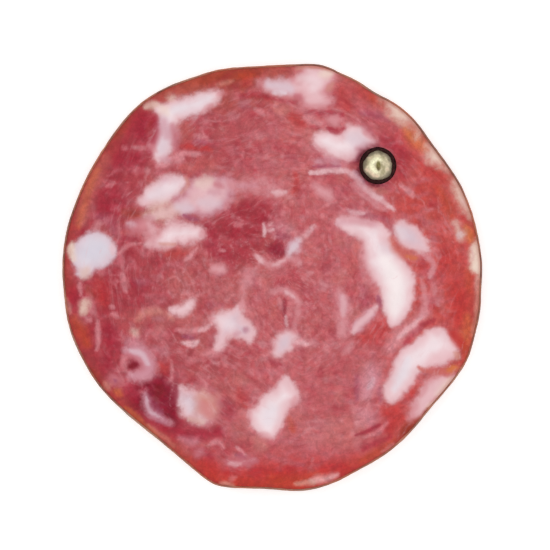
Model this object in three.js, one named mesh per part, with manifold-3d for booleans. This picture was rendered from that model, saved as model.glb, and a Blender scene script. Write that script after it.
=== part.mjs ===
// One slice of coarse-ground salami, lying flat on its cut face.
// A gut casing runs round the rim. Inside it, one bonded mass of lean meat holds separate
// pieces of back fat and a whole black peppercorn, all of them cut through by the knife.
// Millimetres, +Z up. The origin is under the middle of the slice, on the surface it lies on.
// Plan outlines are drawn in the slice's own plan (X right, Y away) and fitted to its width and length.

import * as THREE from 'three';
import { mergeVertices } from 'three/addons/utils/BufferGeometryUtils.js';
import Module from 'manifold-3d';

const wasm = await Module();
wasm.setup();

// ---- driving dimensions ----
const sliceWidth = 56.8;        // along X
const sliceLength = 57.8;       // along Y
const sliceThickness = 2.5;
const casingWall = 0.35;
const clearance = 0.3;          // between any two neighbouring pieces
const peppercornDiameter = 5.2;
const peppercornHeight = 1.75;  // its middle, above the underside
const grainDrift = 0.6;         // how far a piece's outline wanders from the top face to the underside
const facet = 1.1;              // length of a straight side on a curved outline
const rimSides = 96;            // straight sides round the rim
const cutPast = 1;              // a cutting body passes this far beyond both faces

// ---- materials ----
const finishes = {
  lean: new THREE.MeshStandardMaterial({ color: '#b2555c', roughness: 0.45, metalness: 0 }),
  fat: new THREE.MeshStandardMaterial({ color: '#e4d8e0', roughness: 0.4, metalness: 0 }),
  casing: new THREE.MeshStandardMaterial({ color: '#8a6246', roughness: 0.6, metalness: 0 }),
  peppercorn: new THREE.MeshStandardMaterial({ color: '#4a3a30', roughness: 0.7, metalness: 0 }),
};

// ---- drawn outlines, as [x, y] ----
// The rim: flat stretches and soft corners where the gut was folded and pressed.
const rimPoints = [
  [-7, 28.1], [-2, 28.5], [2, 28.7], [7, 28.7], [8.9, 27.7], [11, 26.9], [14, 24.9], [16.7, 23.5],
  [19.3, 21.3], [21.7, 18], [24, 14.9], [25.6, 12.4], [27.2, 8.4], [28, 5], [28.5, 1.5], [28.3, -2],
  [28.3, -4.1], [27.3, -8.7], [26.5, -11.3], [23.9, -15.1], [21.6, -17.7], [19.2, -20.7],
  [15.6, -24], [11.3, -26.5], [8.4, -28], [4.4, -29.1], [-0.7, -28.8], [-7, -28.5], [-8.4, -27.9],
  [-11.3, -25.5], [-15, -22.4], [-20, -18.3], [-23.3, -14.9], [-25.3, -11.7], [-27.3, -7.2],
  [-28.1, -2], [-28.3, 1.5], [-27.7, 6.4], [-26.5, 10], [-25, 13.5], [-21.7, 18.9], [-18.7, 22.6],
  [-15, 25.3], [-10, 27.2],
];

const peppercornPlace = [14.35, 15];

// Fat pieces with an irregular outline. Those that reach the rim are drawn past it and cut to the casing.
const drawnFat = {
  fat_upper_left_fork: [
    [-16, 22.6], [-14.2, 23.7], [-12, 24.3], [-9.3, 25], [-6.7, 25], [-7.4, 23.5], [-9.3, 22.1],
    [-12.2, 21], [-13.2, 19.3], [-13.4, 16.8], [-14.9, 15.4], [-16.7, 17.5], [-15.5, 19.1], [-15.1, 21.6],
  ],
  fat_top_edge: [
    [-1.9, 26.4], [1.5, 26.7], [3.4, 27.2], [4.4, 29.4], [8.8, 29.4], [9.3, 27.2], [7.4, 25.3],
    [8.5, 24.2], [8, 23], [6.4, 22.6], [4.6, 22.8], [3.6, 23.9], [1.6, 24.4], [-1.8, 25.6],
  ],
  fat_beside_peppercorn: [
    [5.5, 18.4], [6.2, 19.5], [7.4, 19.9], [8.6, 19.1], [9.5, 19.7], [10.2, 20.7], [11.6, 20.4],
    [13.1, 19.4], [14.3, 18], [13, 17], [11.9, 16.1], [10, 15.8], [8.7, 16.1], [7, 16.8], [6, 17.5],
  ],
  fat_left_lens: [
    [-18.2, 10], [-16.2, 12.4], [-14.6, 13.4], [-11.7, 13.5], [-11.5, 12.5], [-12.7, 11.2],
    [-13.9, 10.3], [-15.8, 9.6], [-17.3, 9.5],
  ],
  fat_left_slab: [
    [-13.7, 8.9], [-13.1, 10.4], [-11.9, 11.7], [-10.8, 13], [-9.2, 13.3], [-7.6, 13.6],
    [-5.2, 13.1], [-5.2, 11], [-6.5, 9.2], [-8.4, 8.3], [-11, 8.3],
  ],
  fat_left_middle: [
    [-17.1, 4.3], [-16.7, 5.1], [-15.5, 5.7], [-14.5, 6.8], [-13, 7.2], [-11.2, 7], [-9.2, 6.6],
    [-8.7, 5.8], [-9.6, 5], [-11.5, 4.6], [-13.2, 4.3], [-14.8, 3.9],
  ],
  fat_left_lump: [
    [-19.8, 7.3], [-18.6, 7.9], [-17.3, 7.6], [-16.4, 8.3], [-15.8, 8.1], [-15.9, 7.3],
    [-17, 6.3], [-18.6, 5.6], [-19.6, 6.2],
  ],
  fat_left_egg: [
    [-26.7, 3.4], [-26.1, 5], [-24.4, 6], [-22.7, 5.9], [-21.3, 4.8], [-21.1, 3.3], [-22.2, 1.7],
    [-24, 0.6], [-25.6, -0.5], [-26.4, 0.4], [-26.7, 1.8],
  ],
  fat_small_crescent: [
    [-13.9, -4.6], [-12.4, -3.9], [-10.6, -2.9], [-10.5, -3.9], [-11.6, -5.1], [-13.2, -5.2],
  ],
  fat_centre_fork: [
    [-8.5, -5.4], [-7, -4.8], [-5.2, -4.5], [-3.9, -3.4], [-4, -5.3], [-3, -6.2], [-2.2, -7.1],
    [-2.2, -8.3], [-3, -9.1], [-4.2, -8.4], [-5.4, -8], [-6.4, -9.3], [-7.9, -9.8], [-7.2, -8.2], [-7.5, -6.7],
  ],
  fat_low_centre: [
    [0, -9.8], [1.3, -7.5], [2.9, -7.1], [3.5, -7.9], [2.7, -9.5], [1.7, -10.6], [0.5, -11.1],
  ],
  fat_lower_diagonal: [
    [-3.2, -18.7], [-1.5, -17], [0.2, -15], [2.3, -13.2], [3.1, -14.6], [3.8, -16.5], [2.9, -17.5],
    [2, -18.2], [1.4, -20], [0.4, -21.8], [-0.9, -21.9], [-2.4, -20.6],
  ],
  fat_lower_left_block: [
    [-12.9, -14.8], [-10.5, -15.2], [-8.4, -15.9], [-7.4, -17.1], [-7.6, -18.9], [-8.9, -20],
    [-10.8, -19.7], [-12.5, -18.1], [-13.2, -16.3],
  ],
  fat_lower_left_hook: [
    [-19.9, -10.5], [-18.7, -9.7], [-17.4, -9.8], [-16.5, -10.9], [-15.9, -12.4], [-16.4, -13.4],
    [-17.6, -13.8], [-19.2, -13.5], [-17.6, -12.6], [-17.7, -11.8], [-18.5, -11.1],
  ],
  fat_right_crescent: [
    [8.4, 7.8], [10.5, 8.1], [13.8, 7.3], [15.6, 6.4], [16.1, 4.4], [17.4, 2.8], [19.1, 0.4],
    [19.5, -1.8], [18.9, -4], [17.6, -6], [16.5, -7], [15.6, -5.8], [15.1, -3.6], [14.7, -1.6],
    [13.2, 0.2], [12.6, 1.9], [12.5, 4.1], [11.2, 5.6], [9.4, 6.5],
  ],
  fat_right_lobe: [
    [16.7, 7.4], [18.5, 7.5], [20.1, 6.2], [21.2, 4.3], [21.2, 3.1], [19.4, 3.4], [18, 3.9],
    [17.1, 5], [16.8, 6.3],
  ],
  fat_right_edge_bead: [
    [24.7, 7.7], [25.7, 6.9], [26.2, 5.9], [26.2, 5], [25.4, 4.9], [24.8, 6],
  ],
  fat_upper_right_edge: [
    [15.2, 22.8], [15.7, 24.8], [18.6, 23.2], [21.2, 20.4], [20, 19.5], [18.6, 20.3], [17.2, 21], [16, 22],
  ],
  fat_right_edge_wedge: [
    [20.9, 15.3], [20.9, 16.8], [21.2, 19], [23, 17.8], [24.9, 15.2], [24.3, 14.2], [22.6, 14.8],
  ],
  fat_right_edge_strip: [
    [24, 12.9], [25.8, 13.8], [27.2, 11.4], [28.2, 8.6], [26.2, 8.3], [25.2, 9.4], [24.6, 11.2],
  ],
  fat_far_right_strip: [
    [26.9, 0.7], [26.9, 2.6], [27, 4.5], [29.4, 4.8], [29.6, 2.6], [29.4, 0.4],
  ],
  fat_boomerang: [
    [19.2, -8.8], [20.6, -7.5], [22.3, -6.8], [23.7, -7.8], [24.8, -9.1], [25.1, -10.6], [23.5, -11.5],
    [21.4, -12.1], [20.1, -12.7], [19.2, -14.3], [17.9, -16], [16.4, -17.2], [15.3, -16.9],
    [15.4, -14.8], [16.3, -12.4], [17.2, -10.2],
  ],
  fat_lower_right_edge: [
    [20.9, -14.2], [21.6, -13.5], [23.2, -13.4], [25.6, -12.8], [26, -14.6], [23.6, -17.6],
    [21, -20.3], [19.4, -19.7], [18.9, -18.5], [19.3, -17.3], [20, -16],
  ],
};

// Fat pieces that are plain ovals: middle, length, width and the turn of the length from X, in degrees.
const ovalFat = {
  fat_upper_bead: { at: [8.2, 21.3], long: 2.3, wide: 1.2, turn: -8 },
  fat_small_oval: { at: [7, 11.4], long: 3.8, wide: 1.6, turn: -35 },
  fat_left_edge_nub: { at: [-25.4, -4.1], long: 2.4, wide: 1.4, turn: 70 },
  fat_tiny_oval: { at: [-7.3, 1], long: 2.4, wide: 1.3, turn: 5 },
  fat_lower_left_bead: { at: [-21.1, -13.9], long: 1.7, wide: 1.5, turn: 60 },
  fat_centre_bead: { at: [2.9, 4.2], long: 2, wide: 1.8, turn: 40 },
  fat_bottom_bead: { at: [-9.9, -24], long: 1.6, wide: 1.4, turn: 90 },
};

// Fat pieces that are thin strands: a middle line and the width half way along it.
const strandFat = {
  fat_lower_left_sliver: { along: [[-16.8, -15.6], [-16.6, -17.2], [-15.6, -18.5], [-13.8, -19.7]], wide: 1.3 },
  fat_thin_wedge: { along: [[11, -7.4], [12.4, -6], [13.7, -4.5]], wide: 1.3 },
  fat_bottom_streak: { along: [[-6.4, -25.3], [-4, -25.1], [-1.8, -25.1]], wide: 1.1 },
};

// ---- plan curves ----
function smoothLoop(points, count) {
  const curve = new THREE.CatmullRomCurve3(points.map(([x, y]) => new THREE.Vector3(x, y, 0)), true);
  const sides = count ?? Math.max(10, Math.round(curve.getLength() / facet));
  const loop = curve.getSpacedPoints(sides).slice(0, sides).map((p) => new THREE.Vector2(p.x, p.y));
  return THREE.ShapeUtils.isClockWise(loop) ? loop.reverse() : loop;
}

// Fits a drawn [x, y] to the slice's width and length, with the middle of the slice at the origin.
const drawnBox = new THREE.Box2().setFromPoints(smoothLoop(rimPoints, rimSides));
function fitted([x, y]) {
  const middle = drawnBox.getCenter(new THREE.Vector2());
  const size = drawnBox.getSize(new THREE.Vector2());
  return [(x - middle.x) * sliceWidth / size.x, (y - middle.y) * sliceLength / size.y];
}

function ovalPoints({ at, long, wide, turn }) {
  const oval = new THREE.EllipseCurve(at[0], at[1], long / 2, wide / 2, 0, 2 * Math.PI, false, 0);
  const middle = new THREE.Vector2(...at);
  const turned = oval.getPoints(8).slice(0, 8);
  return turned.map((p) => p.rotateAround(middle, THREE.MathUtils.degToRad(turn)).toArray());
}

// A strand is a spline widened to both sides, full in the middle and drawn in at its ends.
function strandPoints({ along, wide }) {
  const line = new THREE.SplineCurve(along.map((p) => new THREE.Vector2(...p)));
  const stations = [0.12, 0.5, 0.88];
  const side = (way) => stations.map((t) => {
    const across = line.getTangent(t).rotateAround(new THREE.Vector2(), way * Math.PI / 2);
    const half = wide / 2 * Math.sin(Math.PI * (0.25 + t / 2));
    return line.getPoint(t).addScaledVector(across, half).toArray();
  });
  return [line.getPoint(0).toArray(), ...side(1), line.getPoint(1).toArray(), ...side(-1).reverse()];
}

// Moves every side of a loop outwards by the same distance, or inwards if it is negative.
function offsetLoop(loop, distance) {
  const outward = (from, to) => new THREE.Vector2(to.y - from.y, from.x - to.x).normalize();
  return loop.map((point, i) => {
    const before = outward(loop.at(i - 1), point);
    const after = outward(point, loop[(i + 1) % loop.length]);
    const mitre = before.clone().add(after).normalize();
    return point.clone().addScaledVector(mitre, distance / Math.max(mitre.dot(before), 0.6));
  });
}

// ---- solids ----
function solidFrom(geometry) {
  geometry.deleteAttribute('normal');
  geometry.deleteAttribute('uv');
  const closed = mergeVertices(geometry, 1e-4);
  return new wasm.Manifold(new wasm.Mesh({
    numProp: 3,
    vertProperties: closed.attributes.position.array,
    triVerts: new Uint32Array(closed.index.array),
  }));
}

function geometryFrom(solid) {
  const { vertProperties, triVerts } = solid.getMesh();
  const geometry = new THREE.BufferGeometry();
  geometry.setAttribute('position', new THREE.BufferAttribute(vertProperties, 3));
  geometry.setIndex(new THREE.BufferAttribute(triVerts, 1));
  return geometry;
}

// A grain is cut by the knife at two heights, so its outline on the underside has wandered a little.
// The wander dies away towards the rim, where the casing stands straight.
function drifted(x, y, height) {
  const reach = Math.hypot(x / (sliceWidth / 2), y / (sliceLength / 2));
  const amount = grainDrift * Math.max(0, 1 - reach ** 4) * (1 - height / sliceThickness);
  return [x + amount * Math.sin(0.3 * y + 0.11 * x + 0.7), y + amount * Math.cos(0.27 * x - 0.12 * y)];
}

// A loop taken from the underside to the top face; past is how far it goes beyond both.
function slab(loop, past = 0, holes = []) {
  const shape = new THREE.Shape(loop);
  shape.holes = holes.map((hole) => new THREE.Path([...hole].reverse()));
  const geometry = new THREE.ExtrudeGeometry(shape, { depth: sliceThickness + 2 * past, bevelEnabled: false });
  geometry.translate(0, 0, -past);
  return geometry;
}

function wanderingSlab(loop, past = 0) {
  const geometry = slab(loop, past);
  const place = geometry.attributes.position;
  for (let i = 0; i < place.count; i += 1) {
    place.setXY(i, ...drifted(place.getX(i), place.getY(i), place.getZ(i)));
  }
  return solidFrom(geometry);
}

function ball(diameter) {
  const [x, y] = fitted(peppercornPlace);
  return solidFrom(new THREE.SphereGeometry(diameter / 2, 32, 20)
    .rotateX(Math.PI / 2).translate(x, y, peppercornHeight));
}

// ---- pieces ----
const salamiSlice = new THREE.Group();
salamiSlice.name = 'salami_slice';

function addPiece(name, geometry, finish) {
  const piece = new THREE.Mesh(geometry, finishes[finish]);
  piece.name = name;
  salamiSlice.add(piece);
}

const rim = smoothLoop(rimPoints.map(fitted), rimSides);
const casingInside = offsetLoop(rim, -casingWall);
const meatRim = offsetLoop(rim, -(casingWall + clearance));
const meatDisc = solidFrom(slab(meatRim));
const peppercornSeat = ball(peppercornDiameter + 2 * clearance);

const fatOutlines = {
  ...drawnFat,
  ...Object.fromEntries(Object.entries(ovalFat).map(([name, oval]) => [name, ovalPoints(oval)])),
  ...Object.fromEntries(Object.entries(strandFat).map(([name, strand]) => [name, strandPoints(strand)])),
};

// Each fat piece is cut to the rim, to the peppercorn's seat and to the pockets of those already in place.
let lean = meatDisc.subtract(peppercornSeat);
let cutters = peppercornSeat;
for (const [name, points] of Object.entries(fatOutlines)) {
  const loop = smoothLoop(points.map(fitted));
  const pocket = wanderingSlab(offsetLoop(loop, clearance), cutPast);
  const fat = wanderingSlab(loop).intersect(meatDisc).subtract(cutters);
  addPiece(name, geometryFrom(fat), 'fat');
  lean = lean.subtract(pocket);
  cutters = cutters.add(pocket);
}

addPiece('lean_meat', geometryFrom(lean), 'lean');
addPiece('casing', slab(rim, 0, [casingInside]), 'casing');
addPiece('peppercorn', geometryFrom(ball(peppercornDiameter).intersect(solidFrom(slab(rim)))), 'peppercorn');

export default salamiSlice;
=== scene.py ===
import math

import bpy
import numpy as np
from mathutils import Matrix, Vector, geometry, kdtree


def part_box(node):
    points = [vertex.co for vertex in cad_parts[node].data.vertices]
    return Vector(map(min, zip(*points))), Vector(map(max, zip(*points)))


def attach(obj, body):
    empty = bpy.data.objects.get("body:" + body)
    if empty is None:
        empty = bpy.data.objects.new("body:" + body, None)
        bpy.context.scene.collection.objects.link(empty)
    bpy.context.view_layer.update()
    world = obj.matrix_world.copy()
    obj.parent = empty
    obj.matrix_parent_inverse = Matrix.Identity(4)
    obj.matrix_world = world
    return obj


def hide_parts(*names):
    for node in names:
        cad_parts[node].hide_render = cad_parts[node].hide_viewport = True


# A slice of coarse-ground salami on a pale table, seen from straight above.
# Plan work is in millimetres and goes to metres when a mesh is made.

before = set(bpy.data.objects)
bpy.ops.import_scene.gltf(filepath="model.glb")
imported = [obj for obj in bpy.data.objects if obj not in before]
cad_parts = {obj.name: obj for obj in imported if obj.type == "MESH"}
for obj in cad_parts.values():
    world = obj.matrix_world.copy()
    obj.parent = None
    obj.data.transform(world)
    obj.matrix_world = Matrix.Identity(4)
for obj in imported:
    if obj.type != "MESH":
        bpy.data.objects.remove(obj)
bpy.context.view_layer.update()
scene = bpy.context.scene

mm = 0.001
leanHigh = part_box("lean_meat")[1]
sliceTop = leanHigh.z / mm
casingLow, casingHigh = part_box("casing")
halfWidth = (casingHigh.x - casingLow.x) / 2 / mm
halfLength = (casingHigh.y - casingLow.y) / 2 / mm

# the sketch that the looks are placed on: its middle and size, fitted to the frame's casing
sketch = {"middle": (0.1, -0.15), "size": (56.8, 57.9)}


def fromSketch(x, y):
    return ((x - sketch["middle"][0]) * 2 * halfWidth / sketch["size"][0],
            (y - sketch["middle"][1]) * 2 * halfLength / sketch["size"][1])


# small tools

latticeSide = 256   # random hills before the pattern repeats


def smooth(value, low, high):
    t = np.clip((value - low) / (high - low), 0, 1)
    return t * t * (3 - 2 * t)


def ripple(x, y, size, seed):
    # soft random hills between -1 and 1; size is the spacing of the hills
    lattice = np.random.default_rng(seed).uniform(-1, 1, (latticeSide, latticeSide))
    u, v = x / size + 57.3, y / size + 91.7
    i, j = np.floor(u).astype(int), np.floor(v).astype(int)
    s, t = smooth(u - i, 0, 1), smooth(v - j, 0, 1)

    def corner(a, b):
        return lattice[(i + a) % latticeSide, (j + b) % latticeSide]

    return ((corner(0, 0) * (1 - s) + corner(1, 0) * s) * (1 - t)
            + (corner(0, 1) * (1 - s) + corner(1, 1) * s) * t)


def turbulence(x, y, size, seed, layers=4):
    total, weight, reach = np.zeros_like(x), 1.0, 0.0
    for layer in range(layers):
        total += weight * ripple(x + 3.1 * layer, y - 5.7 * layer, size / 2 ** layer, seed + layer)
        reach += weight
        weight *= 0.55
    return total / reach


studio = {
    "side": 1.34,        # brightness of the sky round the table
    "overhead": 0.35,    # and straight above, where the camera hangs
    "key": 0.35,
    "keySize": 0.5,
    "floorGlow": 0.3,
    "light": 1.0,        # how much a matt colour is lit
    "veil": 0.02,        # what the gloss adds over every colour, seen from above
}


def linear(chart):
    # colours as a colour chart gives them, 0 to 255, to scene values
    c = np.asarray(chart, float) / 255
    return np.where(c <= 0.04045, c / 12.92, ((c + 0.055) / 1.055) ** 2.4)


def paint(chart):
    # the pigment that looks like this colour on the table, under the gloss
    return np.maximum((linear(chart) - studio["veil"]) / studio["light"], 0.003)


def loopDistance(x, y, loop):
    # distance to a closed outline, negative inside it
    best = np.full(x.shape, 1e9)
    inside = np.zeros(x.shape, bool)
    for (ax, ay), (bx, by) in zip(loop, np.roll(loop, -1, axis=0)):
        dx, dy = bx - ax, by - ay
        t = np.clip(((x - ax) * dx + (y - ay) * dy) / max(dx * dx + dy * dy, 1e-12), 0, 1)
        best = np.minimum(best, (x - ax - t * dx) ** 2 + (y - ay - t * dy) ** 2)
        if ay != by:
            inside ^= ((ay > y) != (by > y)) & (x < dx * (y - ay) / dy + ax)
    return np.where(inside, -1, 1) * np.sqrt(best)


def lineDistance(x, y, line):
    # distance to an open line, and how far along it the nearest point is, 0 to 1
    best = np.full(x.shape, 1e9)
    along = np.zeros(x.shape)
    spans = len(line) - 1
    for k in range(spans):
        (ax, ay), (bx, by) = line[k], line[k + 1]
        dx, dy = bx - ax, by - ay
        t = np.clip(((x - ax) * dx + (y - ay) * dy) / max(dx * dx + dy * dy, 1e-12), 0, 1)
        d = (x - ax - t * dx) ** 2 + (y - ay - t * dy) ** 2
        nearer = d < best
        best = np.where(nearer, d, best)
        along = np.where(nearer, (k + t) / spans, along)
    return np.sqrt(best), along


def smoothLine(points, perSpan=6):
    # a rounded line through a few chosen points
    p = [np.array(q, float) for q in points]
    p = [2 * p[0] - p[1]] + p + [2 * p[-1] - p[-2]]
    line = []
    for a, b, c, d in zip(p, p[1:], p[2:], p[3:]):
        for t in np.arange(perSpan) / perSpan:
            line.append(0.5 * (2 * b + (c - a) * t + (2 * a - 5 * b + 4 * c - d) * t * t
                               + (3 * b - a - 3 * c + d) * t ** 3))
    return np.array(line + [p[-2]])


def makeMesh(name, points, faces):
    mesh = bpy.data.meshes.new(name)
    mesh.from_pydata((np.asarray(points, float) * mm).tolist(), [], faces)
    mesh.validate()
    mesh.shade_smooth()
    piece = bpy.data.objects.new(name, mesh)
    scene.collection.objects.link(piece)
    return piece


def addColour(piece, name, values):
    data = piece.data.attributes.new(name, "FLOAT_COLOR", "POINT")
    rgba = np.ones((len(values), 4), np.float32)
    rgba[:, :3] = values
    data.data.foreach_set("color", rgba.ravel())


def addVector(piece, name, values):
    data = piece.data.attributes.new(name, "FLOAT_VECTOR", "POINT")
    data.data.foreach_set("vector", np.asarray(values, np.float32).ravel())


def addAmount(piece, name, values):
    data = piece.data.attributes.new(name, "FLOAT", "POINT")
    data.data.foreach_set("value", np.asarray(values, np.float32))


def finishPiece(piece, slotName, *nodes):
    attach(piece, "root")
    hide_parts(*nodes)


# camera

cameraSet = {"aim": fromSketch(0.47, 0.2), "field": 74.25, "lens": 100.0, "sensor": 36.0}


def addCamera():
    data = bpy.data.cameras.new("overhead_camera")
    data.lens = cameraSet["lens"]
    data.sensor_width = cameraSet["sensor"]
    data.clip_start = 0.005
    data.dof.use_dof = False
    camera = bpy.data.objects.new("overhead_camera", data)
    height = sliceTop + cameraSet["field"] * cameraSet["lens"] / cameraSet["sensor"]
    camera.location = Vector((*cameraSet["aim"], height)) * mm
    scene.collection.objects.link(camera)
    scene.camera = camera


addCamera()
print("camera placed")

# outlines of the pieces, read from the frame


def topLoops(nodeName):
    # the edges of a frame node's top face, as closed loops in millimetres
    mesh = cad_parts[nodeName].data
    places = np.array([v.co for v in mesh.vertices]) / mm
    keys = [tuple(np.round(p, 3)) for p in places]
    onTop = places[:, 2] > sliceTop - 0.01
    ahead = {}
    for face in mesh.polygons:
        v = list(face.vertices)
        if all(onTop[i] for i in v):
            for a, b in zip(v, v[1:] + v[:1]):
                ahead[(keys[a], keys[b])] = True   # a dictionary, so that the order stays the mesh's own
    nextOf = {a: b for a, b in ahead if (b, a) not in ahead}
    loops = []
    while nextOf:
        start, at = nextOf.popitem()
        loop = [start]
        while at != start and at in nextOf:
            loop.append(at)
            at = nextOf.pop(at)
        loops.append(np.array(loop)[:, :2])
    return sorted(loops, key=len, reverse=True)


def evenLoop(loop, spacing, roundings=2):
    # rounds the corners of a faceted loop and spaces its points evenly
    for _ in range(roundings):
        ahead = np.roll(loop, -1, axis=0)
        loop = np.stack([0.75 * loop + 0.25 * ahead, 0.25 * loop + 0.75 * ahead], 1).reshape(-1, 2)
    closed = np.vstack([loop, loop[:1]])
    run = np.concatenate([[0], np.cumsum(np.hypot(*np.diff(closed, axis=0).T))])
    count = max(8, int(round(run[-1] / spacing)))
    at = np.arange(count) * run[-1] / count
    return np.stack([np.interp(at, run, closed[:, k]) for k in (0, 1)], 1)


def pushedOut(loop, distance):
    # distance may be one number or one for each point
    run = np.roll(loop, -1, axis=0) - np.roll(loop, 1, axis=0)
    run /= np.maximum(np.hypot(*run.T), 1e-9)[:, None]
    return loop + np.stack([run[:, 1], -run[:, 0]], 1) * np.reshape(distance, (-1, 1))


meatSet = {
    "step": 0.25,        # spacing of the meat's surface points
    "edgeStep": 0.2,     # spacing along the edge of a piece
    "closing": 0.14,     # fat grows by this much to meet the lean
    "raggedness": 0.10,  # how far a fat edge strays
    "rimGap": -0.07,     # negative: the meat swells a little past the frame's casing wall
    "seed": 11,
}

fatNodes = sorted(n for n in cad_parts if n.startswith("fat_"))
casingLoops = topLoops("casing")
casingOutside, casingInside = sorted(casingLoops[:2], key=lambda c: -np.ptp(c[:, 0]))
casingOutside = evenLoop(casingOutside, 0.35)
meatEdge = evenLoop(casingInside, meatSet["edgeStep"])
if np.sum(meatEdge[:, 0] * np.roll(meatEdge[:, 1], -1) - np.roll(meatEdge[:, 0], -1) * meatEdge[:, 1]) < 0:
    meatEdge = meatEdge[::-1]
meatEdge = pushedOut(meatEdge, -meatSet["rimGap"])

fatEdges = {}
for number, nodeName in enumerate(fatNodes):
    loop = evenLoop(topLoops(nodeName)[0], meatSet["edgeStep"])
    toRim = -loopDistance(loop[:, 0], loop[:, 1], meatEdge)
    stray = meatSet["raggedness"] * turbulence(loop[:, 0], loop[:, 1], 0.9, 40 + number, 2)
    growth = np.where(toRim < 0.5, 1.2, meatSet["closing"] + stray * 1.6)
    fatEdges[nodeName] = pushedOut(loop, growth)

cornSet = {
    "middleHeight": 1.75,   # of the corn's middle, above the underside
    "ease": 0.02,           # room between the corn and the meat
}
cornLow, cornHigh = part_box("peppercorn")
cornMiddle = np.array([(cornLow.x + cornHigh.x) / 2, (cornLow.y + cornHigh.y) / 2]) / mm
cornRadius = (cornHigh.x - cornLow.x) / 2 / mm


def cornRadiusAt(height):
    return np.sqrt(cornRadius ** 2 - (height - cornSet["middleHeight"]) ** 2)


seatRadius = cornRadiusAt(sliceTop) + cornSet["ease"]
turns = np.linspace(0, 2 * math.pi, 84, endpoint=False)
cornEdge = cornMiddle + seatRadius * np.stack([np.cos(turns), np.sin(turns)], 1)
print("outlines read:", len(fatEdges), "pieces of fat")

# one sheet of triangles over the whole cut face


def coverCutFace():
    random = np.random.default_rng(meatSet["seed"])
    step = meatSet["step"]
    rows = np.arange(-halfLength, halfLength, step * math.sqrt(0.75))
    points = []
    for r, y in enumerate(rows):
        x = np.arange(-halfWidth, halfWidth, step) + (r % 2) * step / 2
        points.append(np.stack([x, np.full_like(x, y)], 1))
    points = np.concatenate(points)
    points += random.uniform(-0.06, 0.06, points.shape)
    edges = [meatEdge, cornEdge] + [fatEdges[n] for n in fatNodes]
    edgePoints = np.concatenate(edges)
    tree = kdtree.KDTree(len(edgePoints))
    for k, (x, y) in enumerate(edgePoints):
        tree.insert((x, y, 0), k)
    tree.balance()
    inside = loopDistance(points[:, 0], points[:, 1], meatEdge) < -0.1
    clear = [i and tree.find((x, y, 0))[2] > 0.13 for (x, y), i in zip(points, inside)]
    points = points[np.array(clear)]
    links, start = [], 0
    for loop in edges:
        n = len(loop)
        links += [(start + k, start + (k + 1) % n) for k in range(n)]
        start += n
    everything = [Vector(p) for p in np.concatenate([edgePoints, points])]
    placed, _, triangles, *_ = geometry.delaunay_2d_cdt(everything, links, [], 0, 1e-4, False)
    return np.array([tuple(p) for p in placed]), np.array([tuple(t) for t in triangles])


plan, triangles = coverCutFace()
centres = plan[triangles].mean(1)
label = np.full(len(triangles), -1)
label[loopDistance(centres[:, 0], centres[:, 1], meatEdge) < 0] = 0
for number, nodeName in enumerate(fatNodes, 2):
    loop = fatEdges[nodeName]
    near = ((centres > loop.min(0)) & (centres < loop.max(0))).all(1) & (label == 0)
    inside = loopDistance(centres[near, 0], centres[near, 1], loop) < 0
    label[np.flatnonzero(near)[inside]] = number
label[(np.hypot(*(centres - cornMiddle).T) < seatRadius) & (label >= 0)] = 1
keep = label >= 0
triangles, label = triangles[keep], label[keep]
cross = np.cross(plan[triangles[:, 1]] - plan[triangles[:, 0]], plan[triangles[:, 2]] - plan[triangles[:, 0]])
triangles[cross < 0] = triangles[cross < 0][:, ::-1]
print("cut face covered:", len(plan), "points,", len(triangles), "triangles")


def neighboursOf(triangles):
    owners = {}
    for t, (a, b, c) in enumerate(triangles.tolist()):
        for edge in ((a, b), (b, c), (c, a)):
            owners.setdefault((min(edge), max(edge)), []).append(t)
    beside = [[] for _ in triangles]
    for pair in owners.values():
        if len(pair) == 2:
            beside[pair[0]].append(pair[1])
            beside[pair[1]].append(pair[0])
    return beside


def takeInCrumbs(label, beside, fewest=60):
    # a crumb cut off from its piece goes to the piece that surrounds it
    seen = np.zeros(len(label), bool)
    for first in range(len(label)):
        if seen[first]:
            continue
        crumb, queue, around = [first], [first], {}
        seen[first] = True
        while queue:
            t = queue.pop()
            for n in beside[t]:
                if label[n] != label[first]:
                    around[label[n]] = around.get(label[n], 0) + 1
                elif not seen[n]:
                    seen[n] = True
                    crumb.append(n)
                    queue.append(n)
        if len(crumb) < fewest and around:
            label[crumb] = max(around, key=around.get)
    return label


label = takeInCrumbs(label, neighboursOf(triangles))

# where the fat and the lean lie, and their colours

px, py = plan[:, 0], plan[:, 1]
sx = px * sketch["size"][0] / (2 * halfWidth) + sketch["middle"][0]
sy = py * sketch["size"][1] / (2 * halfLength) + sketch["middle"][1]
rimDepth = -loopDistance(px, py, meatEdge)
cornDistance = np.hypot(px - cornMiddle[0], py - cornMiddle[1]) - cornRadiusAt(sliceTop)

hues = {
    "white": (239, 220, 224), "milk": (244, 233, 232), "ice": (225, 215, 223), "lilac": (216, 193, 203),
    "orchid": (204, 146, 158), "blush": (227, 184, 189), "pink": (210, 142, 148),
    "rose": (189, 108, 118), "mauve": (158, 84, 106), "beige": (218, 180, 168),
    "cream": (232, 209, 194), "sand": (203, 138, 126), "salmon": (200, 104, 96), "red": (187, 60, 58),
    "crimson": (158, 43, 59), "burgundy": (128, 34, 50), "rust": (184, 76, 54),
    "orange": (208, 118, 72), "brown": (148, 60, 48), "dove": (204, 199, 213), "earth": (165, 78, 68),
    "wine": (158, 57, 66), "dusty": (171, 80, 85), "rosy": (186, 95, 99), "warm": (190, 79, 75),
}

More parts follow.
